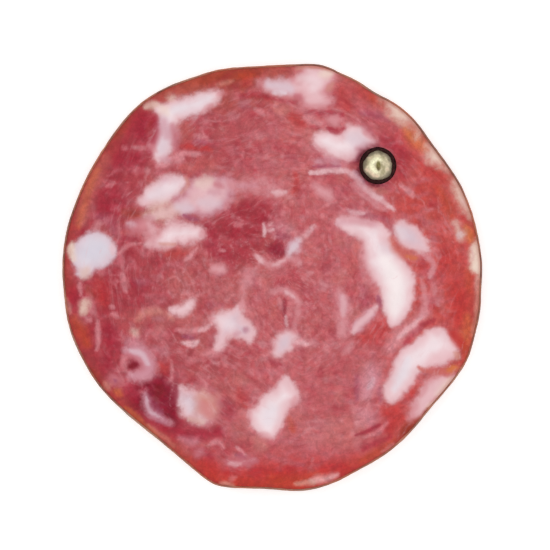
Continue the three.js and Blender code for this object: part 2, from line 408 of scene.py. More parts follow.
# dark and light touches in the lean, laid in order: points, width, strength, hue; one point makes a patch
leanTouches = [
    # upper left
    ([(-17.6, 21.6), (-17.3, 19.4)], 4.2, 0.75, "crimson"),
    ([(-19.6, 21.2), (-20.9, 19)], 1.3, 0.5, "brown"), ([(-16.2, 20.8), (-16.1, 19)], 1.1, 0.5, "brown"),
    ([(-20, 15.6), (-18.4, 15.9)], 3.4, 0.6, "crimson"),
    ([(-11.6, 20.1), (-11.6, 18.6)], 2.4, 0.45, "salmon"),
    ([(-12.6, 17.6), (-9.8, 17.6), (-8, 17)], 0.8, 0.6, "red"),
    ([(-12, 14.6), (-10.4, 14.7)], 1.5, 0.4, "salmon"),
    ([(-18.6, 17.5), (-17.3, 17.4)], 0.8, 0.6, "pink"),
    ([(-20.1, 17.6), (-19.6, 17.2)], 0.7, 0.45, "pink"), ([(-19, 14.4), (-18, 14.7)], 0.9, 0.4, "rose"),
    ([(-16.7, 14.3)], 0.8, 0.6, "pink"), ([(-15.4, 14.9), (-13.6, 15.3), (-12, 15.9)], 0.8, 0.7, "pink"),
    ([(-14.2, 16), (-12.2, 16.5), (-9.6, 16.7)], 0.8, 0.75, "pink"),
    ([(-10.2, 19), (-8.7, 18.7)], 1.0, 0.65, "pink"), ([(-9, 18), (-10.4, 18)], 0.9, 0.4, "mauve"),
    ([(-9.7, 15.4), (-8, 15.2)], 2.0, 0.35, "salmon"),
    ([(-25.7, 7.4), (-25.2, 10), (-24.4, 12.6), (-22.6, 16)], 2.2, 0.4, "sand"),
    ([(-26.2, 6.6), (-25.6, 9), (-24.6, 12.4), (-23.4, 14.6)], 1.0, 0.4, "orange"),
    ([(-22.2, 12.2), (-21.4, 12.5)], 0.7, 0.5, "pink"),
    ([(-20.4, 12.4), (-19.6, 11.4)], 1.6, 0.35, "rose"), ([(-23.5, 12.6)], 0.7, 0.4, "salmon"),
    ([(-21, 10.5), (-22.4, 8.6)], 3.6, 0.5, "crimson"),
    ([(-23.2, 8.2), (-21.8, 7.4), (-21.4, 6)], 1.6, 0.4, "mauve"),
    ([(-19.9, 8.8), (-18.4, 8.5), (-17.2, 8)], 1.3, 0.6, "brown"),
    ([(-19.6, 7.4), (-18, 8)], 1.0, 0.4, "rust"), ([(-19.9, 4.9), (-18.1, 5.2)], 0.6, 0.5, "crimson"),
    ([(-20.2, 5.8), (-18, 5.9)], 0.7, 0.35, "salmon"),
    ([(-20.8, 3.2), (-19.4, 4), (-17.8, 4.4)], 0.6, 0.6, "pink"),
    # top
    ([(-7, 27.2), (-4, 27.6), (-1.4, 27.8)], 1.2, 0.6, "brown"),
    ([(-4.4, 27.3), (-2.3, 27.3)], 0.9, 0.6, "rust"), ([(-9.6, 26.3), (-7.3, 26.9)], 1.0, 0.6, "brown"),
    ([(-3.4, 26.4)], 1.5, 0.55, "red"), ([(-7.4, 26), (-5.2, 26.6)], 0.6, 0.5, "sand"),
    ([(-3.2, 25.1), (-1.6, 25.5)], 1.0, 0.5, "rose"), ([(-6, 24.9), (-4.4, 24.7)], 1.6, 0.35, "rose"),
    ([(-4.2, 24.2), (-1.9, 24.7), (0.4, 24.2)], 0.9, 0.45, "crimson"),
    ([(-3.8, 23.2)], 1.2, 0.4, "mauve"), ([(0.6, 24.1), (2.4, 23.6), (3.2, 23.5)], 0.8, 0.5, "crimson"),
    ([(-5.5, 22), (-4.9, 21.6)], 1.6, 0.35, "orchid"), ([(-2.2, 22.7), (-1.1, 21.8)], 0.8, 0.6, "pink"),
    ([(0.2, 22.6), (2.1, 22.2)], 0.9, 0.35, "sand"), ([(2.8, 21.4), (4.2, 20.9)], 1.8, 0.6, "red"),
    ([(4.8, 22.3), (7, 22.1), (9.6, 21.9)], 0.7, 0.6, "crimson"),
    ([(4.6, 21.4), (6.4, 20.8)], 1.2, 0.75, "pink"), ([(5.2, 20.3), (6.6, 19.9)], 0.7, 0.4, "crimson"),
    ([(9.2, 25), (10.4, 22.8)], 2.2, 0.5, "red"), ([(12, 25.2), (13.6, 24.2)], 2.0, 0.45, "red"),
    ([(13.6, 24.2), (15.4, 22.8)], 1.2, 0.5, "rust"),
    ([(12.2, 22.3), (14.2, 21.9), (15.6, 20.9)], 1.0, 0.45, "mauve"),
    ([(15.2, 18.6), (17.8, 16.4), (17.6, 13.8)], 2.4, 0.5, "crimson"),
    ([(-0.6, 16), (0.6, 15.4)], 0.9, 0.35, "pink"), ([(1.6, 18.8), (3, 18)], 1.4, 0.25, "salmon"),
    ([(3.3, 13.8), (3.4, 12.3), (3.2, 11)], 1.0, 0.5, "red"),
    ([(-5, 15.2), (-3.2, 14.7)], 1.4, 0.25, "rose"), ([(-6, 17.2), (-4.4, 16.6)], 1.0, 0.25, "orchid"),
    ([(-2.4, 19.6), (-1.2, 18.8)], 0.9, 0.25, "pink"),
    # right of the corn, and the right rim
    ([(18.3, 20.1), (19.6, 18.6), (20.6, 17.4)], 2.0, 0.85, "orange"),
    ([(15.8, 21.9), (17.4, 21.1), (18.6, 20.4)], 1.2, 0.7, "sand"),
    ([(20, 15.6), (21.8, 14.4), (23, 13.6)], 1.2, 0.5, "red"),
    ([(22.6, 12), (23.6, 10), (24.3, 8)], 1.6, 0.55, "rust"),
    ([(17.2, 12.4), (18.2, 11.6), (19.1, 10.8)], 0.7, 0.75, "pink"),
    ([(13.4, 11.9), (15.2, 11.4)], 1.4, 0.6, "sand"), ([(14.6, 12.9), (16.8, 11.6)], 1.1, 0.35, "rose"),
    ([(10.3, 9), (13.2, 8.4), (15.6, 7.5)], 0.7, 0.35, "mauve"),
    ([(19.6, 8.4), (21.6, 6), (22.3, 3.4)], 0.9, 0.35, "rose"),
    ([(23.8, 3.4), (24.8, 0.6), (24.8, -2)], 3.0, 0.4, "red"),
    ([(25.6, -2.6), (25.6, -5)], 2.4, 0.6, "red"),
    ([(27.7, 5), (28, 1), (27.9, -4), (27.3, -8)], 0.9, 0.75, "beige"),
    ([(26.4, -5.4), (26.2, -9.4)], 1.5, 0.6, "orange"), ([(25.2, -3), (25.2, -6.6)], 1.8, 0.5, "red"),
    ([(26.6, 1.2), (26.9, -2)], 1.0, 0.5, "rust"), ([(26.4, 6.6), (27.1, 4.9)], 1.4, 0.85, "orange"),
    ([(21.4, 0.8), (21.7, -3), (20.6, -5)], 1.2, 0.3, "rose"),
    ([(22.9, -2), (22.9, -4.8)], 0.8, 0.3, "pink"), ([(20.6, -1.8), (20.2, -3.2)], 0.8, 0.4, "pink"),
    ([(20.8, -5), (19.2, -6.4), (17, -8.4), (16, -9.6)], 2.2, 0.85, "pink"),
    ([(20.2, -5.6), (17.2, -8.2)], 0.8, 0.6, "blush"),
    ([(22, -5.8), (20.4, -6.8), (18.7, -8.4), (17.6, -9.8)], 0.8, 0.5, "crimson"),
    ([(12.4, -8.2), (14.4, -7.4), (14.9, -6)], 2.8, 0.6, "red"),
    ([(11.8, 4), (11, 1), (11.2, -2)], 1.4, 0.25, "salmon"),
    ([(12.4, -1.6), (12.6, -3.4)], 1.2, 0.3, "mauve"),
    # middle
    ([(-8.6, 6.4), (-7.8, 4), (-6, 2.4)], 2.6, 0.5, "crimson"),
    ([(-5, 4.6), (-3.6, 3.2)], 2.6, 0.4, "crimson"), ([(-6.8, 3.3), (-6.1, 3.3)], 0.5, 0.75, "pink"),
    ([(-4.6, 4.7)], 0.8, 0.5, "rose"), ([(-3.8, 6.6)], 0.7, 0.3, "rose"),
    ([(-0.2, 6.6), (2.4, 6.4)], 2.6, 0.45, "orchid"), ([(0.4, 5.4), (2.6, 5.3)], 0.8, 0.35, "mauve"),
    ([(0, 3.7), (1.4, 3.5)], 1.8, 0.75, "burgundy"), ([(-1.6, 7.6), (-0.2, 8.2)], 1.6, 0.35, "crimson"),
    ([(1.5, 8.5)], 0.8, 0.5, "pink"), ([(4.2, 7.8)], 0.7, 0.5, "pink"),
    ([(4.4, 5.8), (5.6, 6.8)], 1.0, 0.4, "pink"),
    ([(-3.4, 0.5), (-2.6, -0.3), (-3.4, -1)], 1.8, 0.4, "orchid"),
    ([(-7.4, 0.1), (-6.6, 0.2)], 0.7, 0.4, "mauve"),
    ([(1.7, -3.2), (1.7, -4.8), (1.8, -6.6)], 0.7, 0.45, "burgundy"),
    ([(2.5, -3.8), (2.6, -6)], 0.9, 0.4, "pink"), ([(0.4, -3.4), (0.2, -5.6)], 0.8, 0.3, "salmon"),
    ([(0.5, -0.6), (2.4, -0.9)], 1.2, 0.25, "crimson"), ([(9, 5.6), (9.6, 4.4)], 1.4, 0.3, "sand"),
    ([(4.4, 3), (6, 2.4)], 1.6, 0.3, "salmon"), ([(8.4, 1.6), (9.4, 0.6)], 1.2, 0.3, "pink"),
    ([(6.8, -0.8), (8.2, -1.2)], 0.8, 0.3, "pink"), ([(-8.6, -3.6), (-6.6, -3.9)], 1.0, 0.3, "mauve"),
    ([(-1.6, -9), (-1, -9.2)], 0.9, 0.6, "pink"),
    # left
    ([(-23.6, -0.8), (-22.8, -3.4)], 2.6, 0.55, "red"),
    ([(-24.9, -1.4), (-24.4, -2.6)], 1.0, 0.4, "brown"),
    ([(-27, -1.6), (-26.9, -3.6)], 1.2, 0.6, "crimson"), ([(-26, -0.9), (-25.8, -2.6)], 0.6, 0.7, "pink"),
    ([(-20.1, 0.4), (-20, -0.8), (-19.8, -2)], 0.8, 0.7, "pink"),
    ([(-21.7, 0.7), (-20.7, 2), (-19.8, 3.2)], 0.8, 0.35, "rose"),
    ([(-19.2, 2.6), (-18.8, 1.6)], 0.8, 0.4, "rose"), ([(-14, 3), (-11.8, 3.2)], 1.4, 0.5, "red"),
    ([(-11.8, 2.1), (-11, 2.6), (-10.2, 3.7)], 0.6, 0.75, "pink"),
    ([(-16.8, -0.8), (-18, -1)], 1.6, 0.3, "mauve"),
    ([(-18.8, -0.6), (-18.6, -1.6)], 0.9, 0.35, "crimson"),
    ([(-11.4, -2), (-11.1, -3.2)], 0.5, 0.5, "pink"), ([(-21.8, -3.9), (-21.2, -4.3)], 0.6, 0.6, "pink"),
    ([(-21.5, -5.1), (-20.8, -5.5)], 0.8, 0.6, "pink"),
    ([(-22, -6.6), (-21.3, -9.4)], 2.0, 0.5, "crimson"),
    ([(-23.5, -6), (-23.3, -8), (-23.6, -9.8)], 0.8, 0.7, "pink"),
    ([(-25, -5.4), (-24.6, -5.8)], 0.8, 0.6, "pink"),
    ([(-26.6, -5.9), (-25.6, -7.6), (-25, -9)], 1.8, 0.75, "rust"),
    ([(-18.2, -5.9), (-16.9, -4.8), (-15, -4.7), (-13.4, -5.6)], 1.0, 0.6, "sand"),
    ([(-16, -5.6), (-14.6, -6)], 0.8, 0.35, "orchid"),
    ([(-18.6, -7.5), (-18.2, -7.8)], 1.4, 0.75, "beige"),
    ([(-19.2, -9), (-17.8, -9.2)], 1.7, 0.6, "orchid"),
    ([(-16.4, -7.6), (-14.8, -7.4)], 1.8, 0.3, "pink"),
    ([(-15.8, -9.6), (-14.2, -10.2)], 1.4, 0.4, "orchid"),
    ([(-12.8, -7.2), (-11, -7.4), (-9.6, -7)], 0.7, 0.65, "pink"),
    ([(-9.9, -7.4), (-8.9, -6.9), (-8.3, -6.4)], 0.7, 0.7, "blush"),
    ([(-11.8, -8.1), (-10.6, -8.3)], 0.8, 0.7, "mauve"),
    ([(-12, -9.1), (-10.8, -9.1), (-9.9, -8.7)], 0.8, 0.85, "blush"),
    ([(-12.5, -10), (-11, -11.1), (-9, -11.4)], 0.7, 0.35, "pink"),
    ([(-9.2, -10.6), (-8, -10.3), (-6.6, -10)], 1.2, 0.6, "pink"),
    # lower left
    ([(-19.2, -12), (-18.1, -12.1)], 1.3, 0.85, "burgundy"),
    ([(-20, -10.9), (-19.9, -12.6)], 0.8, 0.5, "pink"), ([(-15, -12), (-14.4, -12.8)], 1.8, 0.55, "red"),
    ([(-13.4, -11.6), (-13.3, -13.6)], 0.5, 0.5, "pink"),
    ([(-19.2, -14.8), (-18.6, -16.4)], 2.2, 0.6, "crimson"),
    ([(-15.4, -14.4), (-14.6, -16.8), (-13.6, -19.4)], 3.6, 0.9, "burgundy"),
    ([(-16.4, -19.4), (-13, -20.9), (-10, -21.2), (-7, -21)], 2.0, 0.75, "crimson"),
    ([(-22.6, -12.6), (-22, -11)], 2.0, 0.4, "crimson"),
    ([(-24.2, -12.8), (-22.9, -15)], 1.3, 0.6, "brown"),
    ([(-22.4, -14.5), (-22, -15.2)], 1.1, 0.75, "sand"),
    ([(-21, -15.6), (-20.4, -16)], 1.2, 0.7, "orange"),
    ([(-19.6, -17.8), (-17.6, -19.8), (-15.4, -21.4)], 0.9, 0.6, "orange"),
    ([(-16.6, -20.2), (-14.6, -21.6), (-13, -23)], 0.7, 0.5, "sand"),
    ([(-12.2, -21.9), (-10.9, -22.3), (-10, -22.2)], 1.4, 0.55, "orchid"),
    ([(-12, -23), (-11.4, -23.8)], 1.0, 0.35, "rose"),
    ([(-8.4, -22.6), (-7.4, -22.2), (-6.4, -23.2)], 0.7, 0.7, "pink"),
    ([(-5.4, -21.3), (-4.8, -21.6)], 0.9, 0.45, "rose"),
    ([(-4.8, -22.9), (-4, -23.6), (-3.3, -24.3)], 0.5, 0.8, "pink"),
    ([(-4.6, -24.2), (-3.6, -24.6)], 0.9, 0.6, "mauve"), ([(-9, -25.6), (-7.4, -26.2)], 1.8, 0.6, "red"),
    ([(-9, -23.4), (-8, -24.4)], 1.0, 0.35, "crimson"), ([(-4, -27.5), (-3, -27.9)], 1.6, 0.6, "red"),
    ([(-4.7, -27), (-5.6, -27.5)], 0.7, 0.6, "pink"),
    ([(-6.8, -28.2), (-5.4, -28.2)], 0.9, 0.85, "beige"),
    ([(-6, -17), (-5.4, -18.6)], 2.0, 0.35, "crimson"), ([(-8.8, -15.7), (-7.4, -16.3)], 0.8, 0.5, "red"),
    ([(-4.6, -15.4), (-3.4, -17.4)], 1.2, 0.35, "red"),
    ([(-5.4, -13.4), (-3.4, -14.2)], 1.6, 0.3, "sand"),
    # bottom and lower right
    ([(-2, -22), (-1, -23)], 2.2, 0.4, "sand"),
    ([(-0.6, -24.2), (1.8, -25), (4, -25.4)], 0.8, 0.45, "rose"),
    ([(0, -27.4), (3, -27.8), (6, -27)], 1.8, 0.5, "rust"),
    ([(5.4, -27.7), (7, -27.4), (8.8, -26.9)], 1.1, 0.85, "blush"),
    ([(3.4, -28.2), (5.8, -27.9)], 0.8, 0.6, "beige"), ([(3.6, -23.6), (8.4, -23.8)], 3.4, 0.3, "rose"),
    ([(-27.7, -3), (-27.3, -5)], 0.8, 0.5, "beige"), ([(2.4, -19), (3, -20.8)], 1.0, 0.5, "rust"),
    ([(-0.8, -12.4), (0.6, -13)], 1.0, 0.35, "pink"), ([(0, -11.4), (1.4, -11.9)], 0.8, 0.35, "crimson"),
    ([(3, -8.9), (5.6, -8.9)], 1.5, 0.75, "pink"), ([(3.4, -8.8), (4.8, -9)], 0.7, 0.6, "blush"),
    ([(7.2, -9), (7.6, -10.4)], 1.2, 0.55, "pink"), ([(4, -16.8), (4.6, -16.2)], 0.9, 0.4, "pink"),
    ([(13.4, -12.6), (13, -15.8)], 3.0, 0.7, "orchid"),
    ([(15.4, -11.4), (14.4, -12.6)], 1.0, 0.4, "pink"), ([(13.6, -13.8), (13.2, -15)], 0.8, 0.4, "lilac"),
    ([(11.4, -13.4), (11.6, -16.6)], 0.8, 0.4, "mauve"),
    ([(14.6, -15.2), (14.8, -16.8)], 0.7, 0.45, "mauve"),
    ([(12, -18.4), (13.4, -19.6)], 2.4, 0.55, "orchid"),
    ([(10.8, -17), (11.4, -20.6)], 0.8, 0.35, "pink"),
    ([(15.4, -18.2), (17, -18.6), (16.2, -20.6)], 2.0, 0.7, "red"),
    ([(11.4, -21.6), (13, -20.8), (14.6, -20)], 0.6, 0.6, "crimson"),
    ([(12.6, -21.8), (14.6, -21), (15.6, -19.6)], 0.6, 0.5, "pink"),
    ([(12.4, -23.4), (14.4, -22.6), (16, -21.6)], 0.7, 0.45, "crimson"),
    ([(12, -24.9), (14.4, -23.8), (16.6, -22.2)], 1.0, 0.6, "rust"),
    ([(15, -23.8), (16.4, -22.6)], 0.6, 0.7, "pink"), ([(18, -20.9), (19.6, -19.6)], 1.3, 0.7, "brown"),
    ([(20, -12.6), (21.2, -12.9), (22.6, -12.6)], 0.7, 0.65, "mauve"),
    ([(23.6, -12.5), (24.9, -12.4)], 1.0, 0.85, "orange"),
    ([(25.7, -12.2), (25.4, -13)], 0.9, 0.6, "brown"), ([(18.9, -15.4), (18.3, -16.4)], 1.0, 0.5, "red"),
]

# fat pieces: the hue of their middle, of their edge, how soft the edge is, and how full they are
fatLooks = {
    "fat_upper_left_fork": ("white", "blush", 0.56, 0.97), "fat_top_edge": ("blush", "pink", 0.75, 0.95),
    "fat_upper_bead": ("pink", "pink", 0.62, 0.92), "fat_beside_peppercorn": ("white", "blush", 0.56, 0.97),
    "fat_upper_right_edge": ("cream", "beige", 0.88, 0.9),
    "fat_right_edge_wedge": ("cream", "beige", 0.88, 0.95),
    "fat_right_edge_strip": ("cream", "beige", 0.75, 0.9),
    "fat_right_edge_bead": ("cream", "beige", 0.75, 0.9),
    "fat_far_right_strip": ("cream", "cream", 0.62, 0.92), "fat_right_lobe": ("lilac", "blush", 0.5, 0.97),
    "fat_right_crescent": ("white", "blush", 0.4, 0.99), "fat_thin_wedge": ("blush", "orchid", 0.5, 0.85),
    "fat_boomerang": ("white", "blush", 0.4, 0.99), "fat_lower_right_edge": ("blush", "pink", 0.75, 0.92),
    "fat_lower_diagonal": ("white", "blush", 0.4, 0.99), "fat_low_centre": ("lilac", "blush", 0.62, 0.95),
    "fat_centre_fork": ("lilac", "blush", 0.56, 0.96), "fat_centre_bead": ("lilac", "orchid", 0.62, 0.9),
    "fat_small_oval": ("blush", "pink", 0.62, 0.88), "fat_tiny_oval": ("blush", "pink", 0.5, 0.95),
    "fat_small_crescent": ("white", "blush", 0.5, 0.95), "fat_left_lens": ("lilac", "blush", 0.62, 0.95),
    "fat_left_slab": ("blush", "orchid", 0.75, 0.93), "fat_left_lump": ("pink", "rose", 0.62, 0.9),
    "fat_left_middle": ("white", "blush", 0.62, 0.95), "fat_left_egg": ("ice", "lilac", 0.44, 0.99),
    "fat_left_edge_nub": ("cream", "beige", 0.5, 0.9), "fat_lower_left_hook": ("orchid", "rose", 0.5, 0.92),
    "fat_lower_left_bead": ("pink", "rose", 0.5, 0.85),
    "fat_lower_left_sliver": ("mauve", "mauve", 0.44, 0.45),
    "fat_lower_left_block": ("lilac", "blush", 0.7, 0.82), "fat_bottom_bead": ("orchid", "rose", 0.62, 0.85),
    "fat_bottom_streak": ("pink", "rose", 0.56, 0.9),
}

# touches over the fat, and thin strands that the pieces are too coarse for
fatTouches = [
    # the fork at the upper left
    ([(-13, 22.6), (-10.6, 22.9), (-8.6, 24)], 2.0, 0.5, "ice"),
    ([(-15.6, 23.3), (-17, 23)], 1.1, 0.85, "beige"), ([(-14.8, 22.9), (-14.2, 22)], 1.4, 0.5, "cream"),
    ([(-13.7, 24.2)], 1.0, 0.6, "beige"),
    ([(-14.6, 20.8), (-14.3, 19), (-14.8, 17.2)], 2.6, 0.7, "lilac"),
    ([(-14.5, 20.8), (-14.2, 19)], 1.5, 0.6, "orchid"),
    ([(-13.3, 20.4), (-13, 18.6), (-13, 17.2)], 1.2, 0.6, "rose"),
    ([(-15.9, 21.6), (-15.9, 19.2), (-16.4, 16.8)], 1.3, 0.65, "crimson"),
    ([(-16.6, 17.6), (-15.6, 17)], 0.8, 0.5, "pink"), ([(-15, 16), (-14, 15.9)], 1.0, 0.5, "orchid"),
    ([(-7.2, 24.5), (-6.6, 24.9)], 0.9, 0.6, "pink"), ([(-9.4, 22.1), (-8, 23.2)], 0.6, 0.5, "pink"),
    # top edge
    ([(-0.4, 26), (1.6, 25.7), (2.6, 25.3)], 1.8, 0.85, "lilac"),
    ([(0.4, 24.9), (2, 24.8)], 0.7, 0.5, "ice"), ([(4, 26.9), (6, 26.4), (5.6, 25.4)], 1.8, 0.5, "white"),
    ([(6.8, 27.4), (8, 27.6)], 1.4, 0.7, "cream"), ([(5, 24), (6.8, 23.4)], 1.6, 0.6, "blush"),
    ([(4.4, 23.2), (6.4, 22.9), (7.6, 23.3)], 0.7, 0.5, "pink"),
    ([(3.3, 24.5), (3.9, 24.1)], 0.9, 0.6, "rose"), ([(8.2, 26), (7.6, 25.2)], 0.9, 0.55, "sand"),
    ([(3.4, 28.2), (5.8, 28.5), (8, 28.1)], 0.7, 0.8, "sand"),
    ([(-1.6, 26.6), (-1.9, 25.8)], 0.8, 0.5, "pink"),
    # beside the corn
    ([(7.8, 18.2), (9.6, 17.4)], 1.6, 0.4, "white"), ([(12, 15.3), (10.7, 15.2)], 0.8, 0.5, "burgundy"),
    ([(12.2, 16.5), (11.6, 15.9)], 0.9, 0.55, "mauve"), ([(14.8, 12.4), (12.7, 12.9)], 0.9, 0.4, "mauve"),
    ([(7.6, 20), (8.8, 19.6), (9.8, 20.1)], 0.8, 0.6, "crimson"),
    ([(10.8, 18.8), (12.2, 18.2)], 2.2, 0.6, "lilac"), ([(12.4, 20.4), (13.6, 19.4)], 1.2, 0.5, "rose"),
    ([(11.6, 17.2), (12.6, 17)], 1.2, 0.5, "orchid"), ([(6, 17.7), (7.6, 16.6)], 0.5, 0.4, "pink"),
    ([(12.6, 19.4), (13.4, 18.8)], 0.7, 0.5, "pink"), ([(8.6, 21.3)], 1.4, 0.5, "pink"),
    ([(6, 15.6), (8, 15.7), (9.8, 15.3)], 0.9, 0.55, "orchid"),
    ([(5.4, 15), (7, 14.9), (9.2, 15)], 0.5, 0.55, "mauve"),
    ([(5.3, 14.1), (7.5, 14.3), (9.8, 14.4), (11.3, 13.4), (13.2, 11.5), (15.2, 10), (16.4, 9.1)],
     0.9, 0.75, "blush"),
    ([(11, 12.6), (13, 10.6), (15, 9.2)], 0.9, 0.45, "pink"),
    ([(11.2, 14.3), (12.4, 13)], 0.8, 0.5, "lilac"),
    ([(12, 11.2), (14, 9.8), (15.6, 8.8)], 0.6, 0.4, "pink"),
    # upper left slabs
    ([(-14.6, 12.9), (-12.4, 13.1)], 1.1, 0.5, "orchid"),
    ([(-16.2, 11), (-13.4, 11.8)], 2.2, 0.6, "white"), ([(-14, 12.2), (-12.3, 12.9)], 2.0, 0.6, "white"),
    ([(-17.4, 9.9), (-15.4, 9.7)], 1.0, 0.5, "blush"),
    ([(-11.4, 13.4), (-11.3, 12.4), (-12.2, 11.2)], 0.5, 0.5, "sand"),
    ([(-10, 12.6), (-8.2, 12.9)], 1.6, 0.5, "cream"), ([(-7.6, 12.4), (-6.6, 12.2)], 1.0, 0.6, "rose"),
    ([(-8.4, 11.4), (-7, 11.3)], 1.0, 0.5, "orchid"), ([(-9.4, 10), (-7.2, 9.9)], 1.8, 0.6, "lilac"),
    ([(-5.8, 12.9), (-5.2, 12)], 0.9, 0.5, "pink"), ([(-5.4, 10.4), (-6.2, 9.4)], 0.9, 0.4, "pink"),
    ([(-16.4, 8.2), (-15, 8.8), (-12.9, 8.9)], 2.4, 0.7, "beige"),
    ([(-15.4, 8.4), (-13.4, 8.8)], 1.6, 0.5, "blush"), ([(-12.6, 9.4), (-11, 9.2)], 1.8, 0.8, "lilac"),
    ([(-11.8, 8.2), (-10, 7.6)], 0.6, 0.75, "mauve"),
    ([(-5, 12.2), (-1.4, 12.2), (0.8, 11.9)], 2.2, 0.6, "pink"),
    ([(-4.4, 12.3), (-2, 12.3)], 0.9, 0.4, "orchid"), ([(0.2, 11.4), (1.9, 11.4)], 0.9, 0.7, "blush"),
    ([(-2.4, 11.2), (3.2, 10.7)], 0.7, 0.3, "pink"),
    # left
    ([(-16.9, 8), (-16, 8)], 1.2, 0.6, "orchid"), ([(-19.3, 7.1), (-18.6, 7)], 1.0, 0.4, "lilac"),
    ([(-17.2, 6.8), (-16.4, 5.8), (-16.2, 4.8)], 2.6, 0.7, "pink"),
    ([(-16.6, 7), (-15.8, 5.8)], 1.0, 0.5, "blush"), ([(-14, 7.3), (-12.4, 7.5)], 1.0, 0.55, "blush"),
    ([(-9.6, 5.6), (-9, 6.2)], 0.9, 0.5, "pink"), ([(-15.2, 4.5), (-13, 4.4)], 0.5, 0.5, "sand"),
    ([(-26.9, 4.4), (-27, 3.4), (-26.8, 2.2)], 1.0, 0.8, "cream"),
    ([(-27.4, 4), (-27.4, 2.6)], 0.7, 0.5, "beige"), ([(-21.6, 4.4), (-21.5, 3.2)], 0.8, 0.6, "blush"),
    ([(-23.9, 6.6), (-23, 7.2)], 1.2, 0.55, "pink"), ([(-25, 0.9), (-25.5, 0.1)], 1.4, 0.65, "beige"),
    ([(-25, 3.2), (-23.4, 3.6)], 3.4, 0.55, "dove"),
    # middle
    ([(-2.2, 2.9), (-1.5, 2.4), (-0.6, 1.7), (0.7, 1.6), (1.8, 2.3), (2.4, 3.2)], 0.8, 0.8, "pink"),
    ([(-2, 2.8), (-1.2, 1.9)], 0.6, 0.6, "blush"), ([(0.2, 1.6), (1.8, 2.3)], 0.5, 0.5, "blush"),
    ([(2.9, 2.2), (3.6, 1.8)], 1.3, 0.7, "pink"), ([(-0.5, 6.2), (0.4, 6.4)], 0.4, 0.45, "blush"),
    ([(0.3, 5.4)], 0.6, 0.5, "pink"), ([(3.9, 4.8), (4.7, 5.8), (5.8, 7)], 0.7, 0.35, "blush"),
    ([(3.5, 4.8), (3, 3.8), (2.4, 3)], 1.4, 0.6, "lilac"),
    ([(-1.1, 7.4), (-0.9, 6.2), (-1, 5.4)], 0.4, 0.65, "blush"),
    ([(-0.4, 7), (0.2, 7.3)], 0.4, 0.4, "blush"), ([(0.9, 6.4), (1.6, 6.8)], 0.4, 0.4, "pink"),
    ([(-0.1, -2.2), (1.6, -1.8), (2.8, -2.5), (3.7, -3.5)], 1.0, 0.75, "pink"),
    ([(1.9, -2), (2.9, -2.8)], 0.5, 0.6, "blush"), ([(3.4, 4.2), (2.6, 3.4)], 0.9, 0.4, "ice"),
    ([(-6.8, -6), (-5.6, -6.6)], 2.0, 0.55, "white"), ([(-3.4, -7.2)], 0.8, 0.5, "mauve"),
    ([(-2.8, -7.6)], 1.2, 0.5, "blush"), ([(-6.6, -8.8), (-7.4, -9.7)], 1.2, 0.6, "blush"),
    ([(-4.2, -4.4), (-3.9, -3.2)], 0.7, 0.75, "pink"), ([(-8.6, -5.5), (-7.8, -5.6)], 0.6, 0.6, "pink"),
    ([(-5, -7.9), (-4.2, -7.6)], 0.7, 0.5, "orchid"), ([(1.7, -8.3), (1.4, -9.6)], 1.4, 0.5, "lilac"),
    ([(3.1, -7.5)], 0.9, 0.5, "pink"),
    ([(9, -2), (9.6, -3.6), (9.7, -5.4), (9.5, -7.8)], 1.6, 0.85, "pink"),
    ([(9.3, -2.6), (9.8, -4.6)], 1.2, 0.5, "orchid"), ([(9.5, -2.6), (9.7, -5.2)], 0.8, 0.5, "blush"),
    ([(10.8, -9), (10, -10.4)], 1.0, 0.4, "pink"), ([(4.2, -0.2), (5.4, 0.6)], 0.7, 0.35, "pink"),
    ([(-4, -3.6), (-3.6, -1.4), (-2.8, 0.3), (-1.7, 1.5)], 1.1, 0.5, "pink"),
    ([(6.4, -0.6), (7.4, -1.4)], 0.6, 0.4, "pink"),
    ([(3.3, -3.4), (3.5, -5), (3.1, -6.8)], 0.9, 0.45, "pink"),
    ([(1, -3), (1.3, -4.4)], 0.5, 0.35, "pink"), ([(1.9, -5.4), (2.1, -6.8)], 0.5, 0.4, "blush"),
    # right
    ([(9, 7.3), (11.6, 7.6), (14, 7)], 1.2, 0.5, "orchid"),
    ([(15.4, 2), (16.7, -0.8), (16.5, -4.6)], 2.8, 0.75, "milk"),
    ([(15, 4.2), (16.6, 3)], 1.4, 0.4, "ice"),
    ([(12.3, 4.6), (12.5, 2.6), (12.7, 0.8), (13.5, -0.8), (14.4, -2.6)], 1.1, 0.5, "pink"),
    ([(9, 8.4), (11, 7.6), (13.4, 7)], 1.2, 0.35, "pink"),
    ([(16.2, 4.9), (16.9, 3.7), (18.2, 2.9), (19.4, 2.4)], 1.3, 0.75, "salmon"),
    ([(18.4, 2.8), (19.6, 2.4)], 0.7, 0.5, "orange"), ([(10.4, 9), (12.6, 8.6)], 0.6, 0.4, "blush"),
    ([(17.2, 6.4), (17.8, 5.4)], 1.4, 0.5, "ice"), ([(14.6, 5.4), (15.6, 4.4)], 1.2, 0.5, "blush"),
    ([(14.3, -2.6), (14.7, -4)], 0.7, 0.7, "mauve"),
    ([(20.6, 2.9), (21.7, 2), (21.7, 0.9), (21.4, 0)], 0.8, 0.75, "pink"),
    ([(20.2, -0.5), (20.8, -3), (20.2, -5.4)], 0.9, 0.5, "pink"),
    ([(21.9, -1), (22.5, -3.8)], 0.8, 0.35, "pink"),
    ([(10.9, -7.4), (12, -6.4), (13.3, -5.1), (14.1, -4)], 1.0, 0.8, "blush"),
    ([(25.6, 6), (25.4, 5.4)], 1.0, 0.4, "lilac"),
    # lower left
    ([(-19.4, -10), (-17.8, -10.2), (-16.6, -11.4), (-16.6, -12.8), (-17.6, -13.5), (-19, -13.4)],
     1.6, 0.85, "orchid"),
    ([(-19, -10.1), (-17.4, -10.6), (-16.7, -11.8)], 0.8, 0.6, "lilac"),
    ([(-19.2, -12.1), (-18.3, -12)], 1.0, 0.85, "burgundy"),
